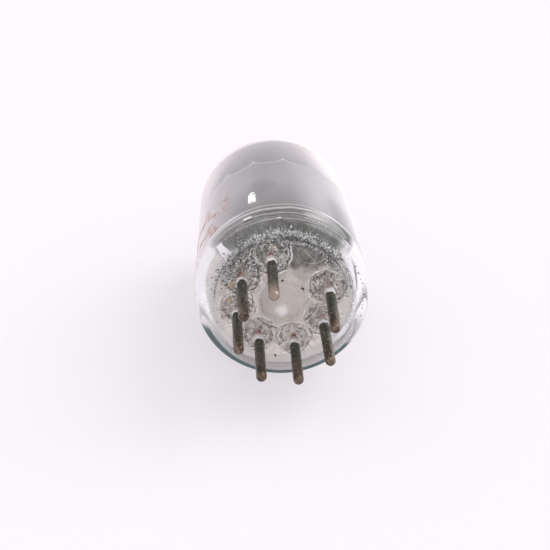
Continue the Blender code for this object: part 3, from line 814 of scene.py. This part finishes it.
def grey_film():
    """Getter metal on the inside of the glass: a mirror in the dome, a grey bloom further down the wall,
    with painted shade, light and reflections on it.
    """
    n = Nodes("grey_film")
    line, mirror = film_scallops(n)
    ragged = n.ragged(n.along, 260, 1.6, 5)
    side = n.ragged(n.across, 170, 1.5)
    # Painted shade: a dark wedge low on the right.
    corner = n.times(n.span(n.across, 3.6, 6.0), n.span(ragged, 14, 8), n.span(n.up, 0.5, 3))
    sloping = n.ragged(n.plus(n.up, n.times(n.size(n.across), 0.07)), 500, 0.5)
    # Painted reflection: white at the foot of the film, low on the wall.
    foot = n.times(n.span(n.along, 4.9, 4.3), n.span(sloping, 5.5, 4.7))

    # The film's grey, with painted shade in the middle and painted light at the sides.
    tone = n.ramp(n.plus(n.times(side, 1 / 18), 0.5), *BLOOM_TONES)
    tone = neck_reflection_rings(n, bloom_shades(n, tone))
    # Painted shade in the wedge at the right.
    tone = n.mix(n.times(corner, 0.9), tone, (0.115, 0.13, 0.125))
    # Painted light: pale on the underside.
    tone = n.mix(n.span(n.up, -2.5, -5.5), tone, (0.93, 0.92, 0.925))
    # Painted reflection: the white foot.
    tone = n.mix(foot, tone, (1.0, 0.985, 0.99))
    tone = mirror_shades(n, tone, side, line, mirror)
    cloud = n.ramp(n.noise(150, 5, 0.6), (0.35, 0.86), (0.65, 1.0))
    n.set(Base_Color=n.mix(1.0, tone, cloud, "MULTIPLY"), Metallic=n.times(mirror, 0.3))
    n.set(Specular_IOR_Level=0.2, Roughness=n.ramp(mirror, (0.0, 0.75), (1.0, 0.45)))

    upper = n.span(n.up, -5, 0.5)
    start = n.minus(n.along, n.times(n.minus(1.0, upper), 6.5))
    begun = n.span(n.ragged(start, 330, 0.8), 2.6, 4.4)
    thin = n.ramp(n.times(side, 1 / 9), (0.35, 0.92), (0.85, 0.55))
    cover = n.times(begun, n.most(thin, corner), n.plus(n.times(upper, 0.4), 0.6))
    n.set(Alpha=n.most(n.times(mirror, 0.97), cover, foot))
    # Painted light on the underside: a pale translucent cast.
    pale = n.blend(0.25, n.bsdf("Translucent", (0.98, 0.925, 0.905)), n.bsdf("Diffuse", (0.96, 0.91, 0.89)))
    painted_underside_light = n.times(n.span(n.up, -1.2, -4.2), n.span(ragged, 11.5, 7.0), 0.93)
    n.surface = n.blend(painted_underside_light, n.surface, pale)
    return n.finish()


# ---- Glass ----


def outer_relief(point):
    """How the button's outer face departs from flat: a shallow dish, and glass drawn up around each pin."""
    r = math.hypot(point.x, point.z)
    depth = 0.06 * MM * (1 - smoothstep(2.4 * MM, 3.0 * MM, r))
    for k in PIN_NUMBERS:
        rho = math.hypot(point.x - PIN_CENTRES[k].x, point.z - PIN_CENTRES[k].z)
        climb = math.exp(-(((rho - PIN_RADIUS) / (0.16 * MM)) ** 2)) if rho > PIN_RADIUS else 1.0
        depth -= 0.05 * MM * climb
    fade = 1 - smoothstep(6.9 * MM, FACE_RADIUS, r)
    ripple = noise.noise(point / (1.3 * MM)) * 0.03 * MM
    return (depth + ripple) * fade


MOUNDS = {  # glass around each lead: radius, height and how deeply it is combed, in millimetres
    1: (2.05, 0.95, 0.05),
    2: (1.55, 0.75, 0.04),
    3: (1.65, 0.70, 0.05),
    4: (1.70, 0.80, 0.04),
    5: (1.60, 0.70, 0.03),
    6: (2.00, 0.95, 0.13),
    7: (2.00, 1.00, 0.08),
}


def inner_relief(point):
    """The inner face: a dish in the middle and a steep-sided, lumpy mound of glass around each lead."""
    r = math.hypot(point.x, point.z)
    height = -0.22 * MM * (1 - smoothstep(2.15 * MM, 2.8 * MM, r))
    height += noise.noise(point / (0.8 * MM)) * 0.07 * MM
    for k, (reach, tall, comb) in MOUNDS.items():
        off = Vector((point.x - PIN_CENTRES[k].x, 0, point.z - PIN_CENTRES[k].z))
        rho = off.length
        if rho > 2.6 * MM:
            continue
        way = off / max(rho, 1e-6)
        edge = (reach * (1 + 0.16 * noise.noise(way * 1.1 + Vector((0, 3.1 * k, 0))))) * MM
        rise = 1 - smoothstep(edge - 0.5 * MM, edge, rho)
        lumps = 1 + 0.45 * noise.noise(point / (0.42 * MM) + Vector((k, 0, 0)))
        hair = noise.noise(way * 9 + Vector((0, rho / (1.4 * MM), 0))) * comb * MM
        hair *= smoothstep(0.6 * MM, 1.1 * MM, rho) * (1 - smoothstep(edge, edge + 0.3 * MM, rho))
        height = max(height, tall * MM * rise * lumps) + hair
    return height * (1 - smoothstep(6.45 * MM, 7.05 * MM, r))


FACE_STEPS, INNER_STEPS, RIM_STEPS, WALL_STEPS, DOME_STEPS = 48, 66, 14, 8, 22
CLEAR, PRESSED, FACE, BUBBLE, SEAL = range(5)  # finishes of the glass, in the order of its materials


def outer_profile():
    """Rings of the outside, from the middle of the button's face to the tip of the pip."""
    rings = [profile_ring(FACE_RADIUS * i / FACE_STEPS, 0, outer_relief) for i in range(FACE_STEPS + 1)]
    rim_width = RIM_RADIUS - FACE_RADIUS
    for i in range(1, RIM_STEPS + 1):
        t = math.pi / 2 * i / RIM_STEPS
        rings.append(profile_ring(FACE_RADIUS + rim_width * math.sin(t), RIM_REACH * (1 - math.cos(t))))
    waist = [
        (RIM_RADIUS, RIM_REACH),
        (8.55 * MM, 1.75 * MM),
        (8.38 * MM, 2.2 * MM),
        (8.42 * MM, 2.6 * MM),
        (8.72 * MM, 3.2 * MM),
        (8.88 * MM, 3.9 * MM),
        (BODY_RADIUS, OUTER_WALL),
    ]
    rings += [profile_ring(r, y) for r, y in catmull(waist, 5)[1:]]
    for i in range(1, WALL_STEPS + 1):
        rings.append(profile_ring(BODY_RADIUS, OUTER_WALL + (DOME_START - OUTER_WALL) * i / WALL_STEPS))
    neck_angle = math.acos(PIP_ROOT / BODY_RADIUS)
    for i in range(1, DOME_STEPS + 1):
        t = neck_angle * i / DOME_STEPS
        rings.append(profile_ring(BODY_RADIUS * math.cos(t), DOME_START + BODY_RADIUS * math.sin(t)))
    neck = DOME_START + BODY_RADIUS * math.sin(neck_angle)
    pip_height = SEATED - neck
    pip = [
        (PIP_ROOT, neck),
        (1.35 * MM, neck + 0.12 * pip_height),
        (1.15 * MM, neck + 0.35 * pip_height),
        (0.95 * MM, neck + 0.65 * pip_height),
        (0.55 * MM, neck + 0.92 * pip_height),
        (0.0, SEATED),
    ]
    return rings + [profile_ring(max(r, 0), y) for r, y in catmull(pip, 4)[1:]]


def wall_and_dome(radius, start, wall_steps, dome_steps):
    """Rings of a straight wall of this radius and of the round dome that closes it."""
    length = DOME_START - start
    rings = [profile_ring(radius, start + length * i / wall_steps) for i in range(1, wall_steps + 1)]
    for i in range(1, dome_steps + 1):
        t = math.pi / 2 * i / dome_steps
        rings.append(profile_ring(max(radius * math.cos(t), 0), DOME_START + radius * math.sin(t)))
    return rings


def build_glass():
    """Bulb and button as the single piece of glass that they are fused into, with its sealed cavity."""
    shell = Shell()
    shell.surface(outer_profile(), SECTORS, inward=True, kind_of=lambda i: FACE if i < FACE_STEPS else CLEAR)
    radii = [INNER_FACE * i / INNER_STEPS for i in range(INNER_STEPS + 1)]
    inner = [profile_ring(radius, BUTTON, inner_relief) for radius in radii]
    fillet = [
        (INNER_FACE, BUTTON),
        (7.2 * MM, BUTTON + 0.12 * MM),
        (7.65 * MM, BUTTON + 0.55 * MM),
        (7.92 * MM, BUTTON + 1.3 * MM),
        (BORE, INNER_WALL),
    ]
    inner += [profile_ring(r, y) for r, y in catmull(fillet, 5)[1:]]
    seal_end = len(inner) - 1
    inner += wall_and_dome(BORE, INNER_WALL, WALL_STEPS, DOME_STEPS)
    inner_kinds = [PRESSED] * INNER_STEPS + [SEAL] * (seal_end - INNER_STEPS) + [CLEAR] * len(inner)
    shell.surface(inner, SECTORS, kind_of=lambda i: inner_kinds[i])
    add_seal_bubbles(shell)
    glasses = [clear_glass(), pressed_glass(), face_glass(), bubble_skin(), seal_skin()]
    ride(shell.finish("glass_envelope", glasses), "clear_glass", "glass_bulb", "button_stem")


TOP_MIDDLE = math.radians(84)  # where the seal's bubbles are thickest
SEAL_SURFACE = ((6.0, 2.0), (6.7, 2.0), (7.2, 2.12), (7.65, 2.55), (7.8, 2.9))  # radius and height, in mm
SEAL_BUBBLES, RIM_BUBBLES, ARC_BUBBLES = 2300, 300, 90
SEAL_GRAINS, LEAD_GRAINS = 1900, 46
DARK, WHITE = 0, 1  # the two finishes of the grains

GRAIN_CLUSTERS = (  # across, up and spread in millimetres, and how many grains
    (4.75, 4.2, 0.42, 120),
    (0.5, 6.35, 0.28, 60),
    (3.2, 6.0, 0.5, 60),
)


def seal_height(radius):
    """How far the glass reaches along the tube at this radius, in millimetres."""
    for (r0, y0), (r1, y1) in zip(SEAL_SURFACE, SEAL_SURFACE[1:]):
        if radius <= r1:
            return y0 + (y1 - y0) * (radius - r0) / (r1 - r0)
    return y1


def seal_spot(rng, spread):
    """A random place in the seal, in two bands that run along the top of the button."""
    angle = rng.gauss(TOP_MIDDLE, 0.66)
    outer_band = rng.random() < 0.66
    radius = min(7.5, max(5.9, (7.05 if outer_band else 6.35) + rng.gauss(0, spread)))
    low = 1.3 if outer_band else 1.5
    y = rng.uniform(low, seal_height(radius) - 0.14)
    return around(radius * MM, angle, y * MM)


def add_seal_bubbles(shell):
    """Fine bubbles in the glass: most in the seal, some round the rim, and an arc of them at the right."""
    rng = random.Random(7)
    for _ in range(SEAL_BUBBLES):
        size = rng.uniform(0.025, 0.072) * MM
        shell.ball(seal_spot(rng, 0.11), size, inward=True, kind=BUBBLE)
    for _ in range(RIM_BUBBLES):
        angle = rng.uniform(0, 2 * math.pi)
        size = rng.uniform(0.02, 0.05) * MM
        spot = around(rng.uniform(7.3, 7.7) * MM, angle, rng.uniform(0.4, 1.6) * MM)
        shell.ball(spot, size, inward=True, kind=BUBBLE)
    for step in range(ARC_BUBBLES):
        angle = math.radians(-22 + 50 * step / ARC_BUBBLES + rng.uniform(-0.3, 0.3))
        size = rng.uniform(0.04, 0.085) * MM
        spot = around(rng.choice((7.05, 7.2)) * MM, angle, 0.8 * MM)
        shell.ball(spot, size, inward=True, kind=BUBBLE)


def add_flake(shell, rng, centre, sizes, longest, kinds):
    """A grain that is flat along the tube, with a random size, in millimetres, length and finish."""
    size = rng.uniform(*sizes) * MM
    radii = (size, size * 0.6, size * rng.uniform(0.7, longest))
    shell.ball(centre, radii, kind=rng.choice(kinds), rough=0.6)


def build_seal_grains():
    """Dark and white grains burnt into the seal among the bubbles, and a few around the leads."""
    rng = random.Random(11)
    shell = Shell()
    for _ in range(SEAL_GRAINS):
        size = rng.uniform(0.025, 0.07) * MM
        radii = (size * rng.uniform(0.7, 1.6), size, size * rng.uniform(0.6, 1.2))
        shell.ball(seal_spot(rng, 0.10), radii, kind=rng.choice((DARK, WHITE)), rough=0.5)
    for angle in range(-12, 30, 4):
        size = rng.uniform(0.04, 0.10) * MM
        spot = around(rng.uniform(7.9, 8.05) * MM, math.radians(angle + rng.uniform(-1.8, 1.8)), 0.6 * MM)
        shell.ball(spot, size, kind=DARK, rough=0.5)
    for x, z, spread, count in GRAIN_CLUSTERS:
        for _ in range(count):
            across, y, up = x + rng.gauss(0, spread), rng.uniform(1.3, 1.8), z + rng.gauss(0, spread)
            centre = Vector((across * MM, y * MM, up * MM))
            add_flake(shell, rng, centre, (0.03, 0.075), 1.6, (DARK, DARK, WHITE))
    for k in PIN_NUMBERS:
        for _ in range(LEAD_GRAINS):
            angle, reach = rng.uniform(0, 2 * math.pi), rng.uniform(0.7, 1.9) * MM
            centre = PIN_CENTRES[k] + around(reach, angle)
            centre.y = rng.uniform(0.9, 1.75) * MM
            add_flake(shell, rng, centre, (0.025, 0.07), 2.0, (DARK, WHITE))
    grains = [matt("dark_grain", (0.055, 0.056, 0.043), 0.4), matt("white_grain", (0.85, 0.84, 0.81))]
    ride(shell.finish("seal_grains", grains), "clear_glass")


SPECK, AMBER = 0, 1  # the two finishes of the crumbs

CRUMBS = (  # across, up and size in millimetres, and finish
    (-5.1, 2.4, 0.20, AMBER),
    (-5.25, 2.15, 0.13, AMBER),
    (-5.6, 0.65, 0.17, AMBER),
    (-5.35, 0.6, 0.14, AMBER),
    (-0.1, 2.6, 0.12, SPECK),
    (2.0, 1.6, 0.13, SPECK),
    (1.85, 1.72, 0.09, SPECK),
    (-0.8, -5.9, 0.15, SPECK),
    (2.5, 0.5, 0.06, SPECK),
    (-2.6, -6.0, 0.09, SPECK),
    (0.4, -1.9, 0.05, SPECK),
    (-6.6, -1.9, 0.06, SPECK),
    (5.9, -1.2, 0.05, SPECK),
    (5.2, -3.4, 0.06, SPECK),
    (-7.0, 3.1, 0.06, SPECK),
    (-3.0, -5.2, 0.07, SPECK),
    (2.9, -6.1, 0.06, SPECK),
)


def build_crumbs():
    """Dirt on the face: amber crumbs of old resin and dark specks."""
    shell = Shell()
    for i, (x, z, size, kind) in enumerate(CRUMBS):
        centre = Vector((x * MM, -0.01 * MM - size * 0.2 * MM, z * MM))
        stretch = 1 + 0.6 * math.sin(i * 2.3)
        radii = (size * stretch * MM, size * 0.45 * MM, size * MM)
        shell.ball(centre, radii, kind=kind, fineness=2, rough=0.9)
    speck = matt("dark_speck", (0.05, 0.045, 0.035), 0.5, 6000)
    amber = matt("amber_crumb", (0.64, 0.49, 0.27), 0.6, 6000)
    ride(shell.finish("face_crumbs", [speck, amber]), "clear_glass")


HAIR_COUNTS = {1: 34, 2: 14, 3: 14, 4: 16, 5: 12, 6: 60, 7: 46}  # around each lead
HAIR_STEPS, THREAD_SIDES = 5, 4
PALE, SMOKY = 0, 1  # the two finishes of the threads
SCRATCH = (PALE, 0.35, 0.016)  # finish, place along the tube and radius in millimetres
DARK_FOLD = (SMOKY, 1.30, 0.05)
PALE_FOLD = (PALE, 1.20, 0.035)

LONG_THREADS = (  # which of those three, and points across and up in millimetres
    (SCRATCH, ((1.9, 5.9), (2.5, 5.2), (3.1, 4.6))),
    (SCRATCH, ((3.0, 4.3), (3.7, 3.8), (4.6, 3.6))),
    (SCRATCH, ((-0.3, 2.0), (0.8, 1.7), (1.7, 1.3), (2.3, 0.6))),
    (SCRATCH, ((2.0, 4.4), (3.0, 4.3), (3.9, 4.6))),
    (DARK_FOLD, ((-3.2, 1.1), (-3.05, 0.3), (-3.05, -0.5))),
    (PALE_FOLD, ((-3.0, 1.2), (-2.85, 0.3), (-2.85, -0.6))),
    (DARK_FOLD, ((-2.6, -2.0), (-1.7, -2.8), (-0.5, -3.3))),
    (PALE_FOLD, ((-2.7, -2.25), (-1.8, -3.05), (-0.6, -3.55))),
    (DARK_FOLD, ((2.2, -2.4), (3.0, -1.5), (3.5, -0.4))),
    (PALE_FOLD, ((2.4, -2.5), (3.2, -1.6), (3.7, -0.5))),
    (DARK_FOLD, ((2.6, -2.7), (3.4, -1.9), (3.8, -1.1))),
)


def build_hairs():
    """Fine threads in the glass: cracks around the leads, long scratches, and folds beside the disc."""
    rng = random.Random(23)
    shell = Shell()
    for k, count in HAIR_COUNTS.items():
        for _ in range(count):
            angle = rng.uniform(0, 2 * math.pi)
            start, length = rng.uniform(0.85, 1.5) * MM, rng.uniform(0.3, 0.85) * MM
            y = rng.uniform(1.2, 1.8) * MM
            bend = rng.uniform(-0.35, 0.35)
            path = []
            for i in range(HAIR_STEPS + 1):
                t = i / HAIR_STEPS
                spot = around(start + length * t, angle + bend * t * t)
                path.append(PIN_CENTRES[k] + Vector((spot.x, y - PIN_CENTRES[k].y, spot.z)))
            shell.tube(path, rng.uniform(0.02, 0.042) * MM, THREAD_SIDES, rng.choice((PALE, SMOKY)))
    for (kind, y, radius), points in LONG_THREADS:
        path = [Vector((x * MM, y * MM, z * MM)) for x, z in catmull(points, 6)]
        for i, spot in enumerate(path):
            spot.z += noise.noise(Vector((i * 0.7, spot.x / MM, 0))) * 0.08 * MM
        shell.tube(path, radius * MM, THREAD_SIDES, kind)
    finishes = [matt("white_thread", (0.88, 0.87, 0.85)), matt("dark_thread", (0.12, 0.115, 0.10))]
    ride(shell.finish("glass_threads", finishes), "clear_glass")


def build_film():
    """A skin on the bulb's inner wall, from the corner of the seal to the top of the dome."""
    shell = Shell()
    radius = BORE + FILM_DEPTH
    corner = [(7.74 * MM, 2.55 * MM), (7.97 * MM, 3.3 * MM), (radius, FILM_START)]
    rings = [profile_ring(r, y) for r, y in catmull(corner, 5)]
    rings += wall_and_dome(radius, FILM_START, FILM_STEPS, FILM_STEPS)
    shell.surface(rings, FILM_SECTORS, inward=True)
    ride(shell.finish("getter_film_coat", [grey_film()]), "getter_mirror", "getter_film")


# ---- Pins and leads ----

PIN_LEAN = {  # how far each pin's tip is bent from straight, across and up, in millimetres
    1: (-0.14, -0.17),
    2: (0.05, -0.13),
    3: (-0.02, 0.03),
    4: (0.06, -0.09),
    5: (0.12, 0.04),
    6: (0.09, -0.07),
    7: (-0.04, -0.12),
}
CAP_STEPS, SHANK_STEPS = 10, 60


def build_pin(k, finish):
    """A pin with a rounded tip, bent a little from its root, with a slightly uneven skin."""
    shell = Shell()
    centre = PIN_CENTRES[k]
    lean_x, lean_z = PIN_LEAN[k]
    tip_start = PIN_TIP + PIN_RADIUS

    def ring(r, y):
        def place(angle):
            out = around(r, angle, y)
            bend = max(0.0, y / PIN_TIP) ** 1.3
            out.x += centre.x + lean_x * MM * bend
            out.z += centre.z + lean_z * MM * bend
            grain = noise.noise(Vector((out.x, out.y * 0.5, out.z)) / (0.35 * MM)) * 0.012 * MM
            return out + around(grain, angle) if r > 0 else out

        return r, place

    rings = []
    for i in range(CAP_STEPS + 1):
        t = math.pi / 2 * i / CAP_STEPS
        rings.append(ring(PIN_RADIUS * math.sin(t), tip_start - PIN_RADIUS * math.cos(t)))
    for i in range(1, SHANK_STEPS + 1):
        rings.append(ring(PIN_RADIUS, tip_start + (PIN_END - tip_start) * i / SHANK_STEPS))
    rings.append(ring(0.0, PIN_END))
    shell.surface(rings, PIN_SECTORS, inward=True)
    ride(shell.finish(f"pin_{k}_shank", [finish]), "pin_alloy", f"pin_{k}")


COLLAR_REACH = {1: 0.62, 2: 0.35, 3: 0.45, 4: 0.55, 5: 0.35, 6: 0.3, 7: 0.62}  # in front of the face, in mm


def build_collar(k, finish):
    """The ragged collar of white, bubbly glass around a pin's root."""
    shell = Shell()
    centre = PIN_CENTRES[k]
    reach = COLLAR_REACH[k]
    profile = (  # radius and place along the tube, in millimetres
        (0.44, 0.06 - reach),
        (0.505, -reach),
        (0.52, 0.05 - reach),
        (0.525, -0.5 * reach),
        (0.535, -0.05),
        (0.54, 0.1),
        (0.52, 0.22),
        (0.44, 0.26),
    )

    def ring(r, y):
        def place(angle):
            out = around(r * MM, angle, y * MM)
            wave = noise.noise(Vector((math.cos(angle) * 1.6, k * 2.7, math.sin(angle) * 1.6)))
            out.y += 0.5 * abs(y) * MM * wave
            return out + Vector((centre.x, 0, centre.z))

        return r * MM, place

    rings = [ring(r, y) for r, y in profile]
    rings.append((0.0, lambda angle: Vector((centre.x, 0.27 * MM, centre.z))))
    rings.insert(0, (0.0, lambda angle: Vector((centre.x, (0.08 - reach) * MM, centre.z))))
    shell.surface(rings, COLLAR_SECTORS, inward=True)
    ride(shell.finish(f"pin_{k}_bead", [finish]), "clear_glass")


def build_seal_wire(k, finish):
    """The thin copper-clad wire that carries on from a pin through the button to the soft lead."""
    shell = Shell()
    centre = PIN_CENTRES[k]
    steps, length = 12, SEAL_TOP - SEAL_WIRE_START
    path = [Vector((centre.x, SEAL_WIRE_START + length * i / steps, centre.z)) for i in range(steps + 1)]
    for i, spot in enumerate(path):
        spot.x += 0.05 * MM * noise.noise(Vector((k * 5.1, i * 0.5, 0)))
    shell.tube(path, SEAL_WIRE_RADIUS, 16)
    ride(shell.finish(f"seal_wire_{k}_core", [finish]), "copper_clad_wire", f"seal_wire_{k}")


# ---- Stage ----


FLOOR_REACH = 30  # metres each way
KEY_FROM = (0.70, 0.35, 0.62)
WINDOW_FROM = (-0.2216, 0.9239, 0.3119)
WINDOW_WIDE = (0.815, 0, 0.58)  # the way its width runs


def build_floor():
    """A pale floor that gives off a little light of its own."""
    mesh = bpy.data.meshes.new("floor")
    corners = [(x * FLOOR_REACH, y * FLOOR_REACH, FLOOR) for x, y in ((-1, -1), (1, -1), (1, 1), (-1, 1))]
    mesh.from_pydata(corners, [], [(0, 1, 2, 3)])
    floor = add_object("floor", mesh)
    n = Nodes("floor_white")
    n.set(Base_Color=(0.478, 0.475, 0.477), Roughness=0.9, Specular_IOR_Level=0.0)
    n.set(Emission_Color=(1.0, 0.95, 1.01), Emission_Strength=0.42)
    mesh.materials.append(n.material)


def build_camera():
    """The camera looks at the pins from in front of the button and above it."""
    azimuth, elevation = math.radians(-2.387), math.radians(26.615)
    distance = 92.567 * MM
    target = Vector((-0.831 * MM, 0, 3.238 * MM))
    level = math.cos(elevation)
    back = Vector((math.sin(azimuth) * level, -math.cos(azimuth) * level, math.sin(elevation)))
    data = bpy.data.cameras.new("camera")
    data.lens = 61.9
    data.sensor_width = 36
    data.clip_start = 0.005
    data.clip_end = 80
    camera = add_object("camera", data)
    camera.location = target + back * distance
    camera.rotation_euler = (-back).to_track_quat("-Z", "Y").to_euler()
    bpy.context.scene.camera = camera


def aim(light, direction, wide=(1, 0, 0)):
    """Points a lamp so that its light comes from a direction, with its width as near wide as can be."""
    back = Vector(direction).normalized()
    up = back.cross(Vector(wide)).normalized()
    light.location = back
    light.rotation_euler = Matrix((up.cross(back), up, back)).transposed().to_euler()


def build_light():
    """An even pale sky, a soft sun, and a small lamp whose reflection shows on the wall."""
    world = bpy.data.worlds.new("studio")
    bpy.context.scene.world = world
    world.use_nodes = True
    background = world.node_tree.nodes["Background"]
    background.inputs["Color"].default_value = (0.991, 0.947, 1.0, 1)
    background.inputs["Strength"].default_value = 1.0
    sun = bpy.data.lights.new("key", "SUN")
    sun.energy = 1.1
    sun.angle = math.radians(45)
    aim(add_object("key", sun), KEY_FROM)
    window = bpy.data.lights.new("window", "AREA")
    window.shape = "RECTANGLE"
    window.size, window.size_y = 0.075, 0.014
    window.energy = 0.022
    aim(add_object("window", window), WINDOW_FROM, WINDOW_WIDE)


def set_look():
    """Plain colours, and enough bounces for glass inside glass."""
    settings = bpy.context.scene.view_settings
    settings.view_transform = "Standard"
    cycles = bpy.context.scene.cycles
    cycles.max_bounces = 24
    cycles.transmission_bounces = 24
    cycles.transparent_max_bounces = 24


build_camera()
build_light()
set_look()
build_floor()
build_glass()
build_seal_grains()
build_crumbs()
build_hairs()
build_film()
pin_finish, collar_finish, copper_finish = pin_metal(), pale_seal(), seal_copper()
for number in PIN_NUMBERS:
    build_pin(number, pin_finish)
    build_collar(number, collar_finish)
    build_seal_wire(number, copper_finish)

finishes = {
    "nickel": sheet_nickel(),
    "copper_clad_wire": wire_metal("copper_wire", (0.36, 0.12, 0.08), 0.5),
    "molybdenum": wire_metal("molybdenum_wire", (0.35, 0.34, 0.33)),
    "white_coating": matt("white_coating", (0.85, 0.84, 0.81)),
    "carbonised_nickel": matt("carbonised_sheet", (0.07, 0.07, 0.07)),
    "mica": mica_sheet(),
    "getter_steel": wire_metal("getter_steel", (0.33, 0.32, 0.31)),
}
for part in frame["record"]["subparts"]:  # the nodes that no piece replaces get a finish by their slot
    slot = part["material_slot"]
    node = nodes[part["node"]]
    if slot in finishes and not node.hide_render:
        for place in node.material_slots:
            place.material = finishes[slot]
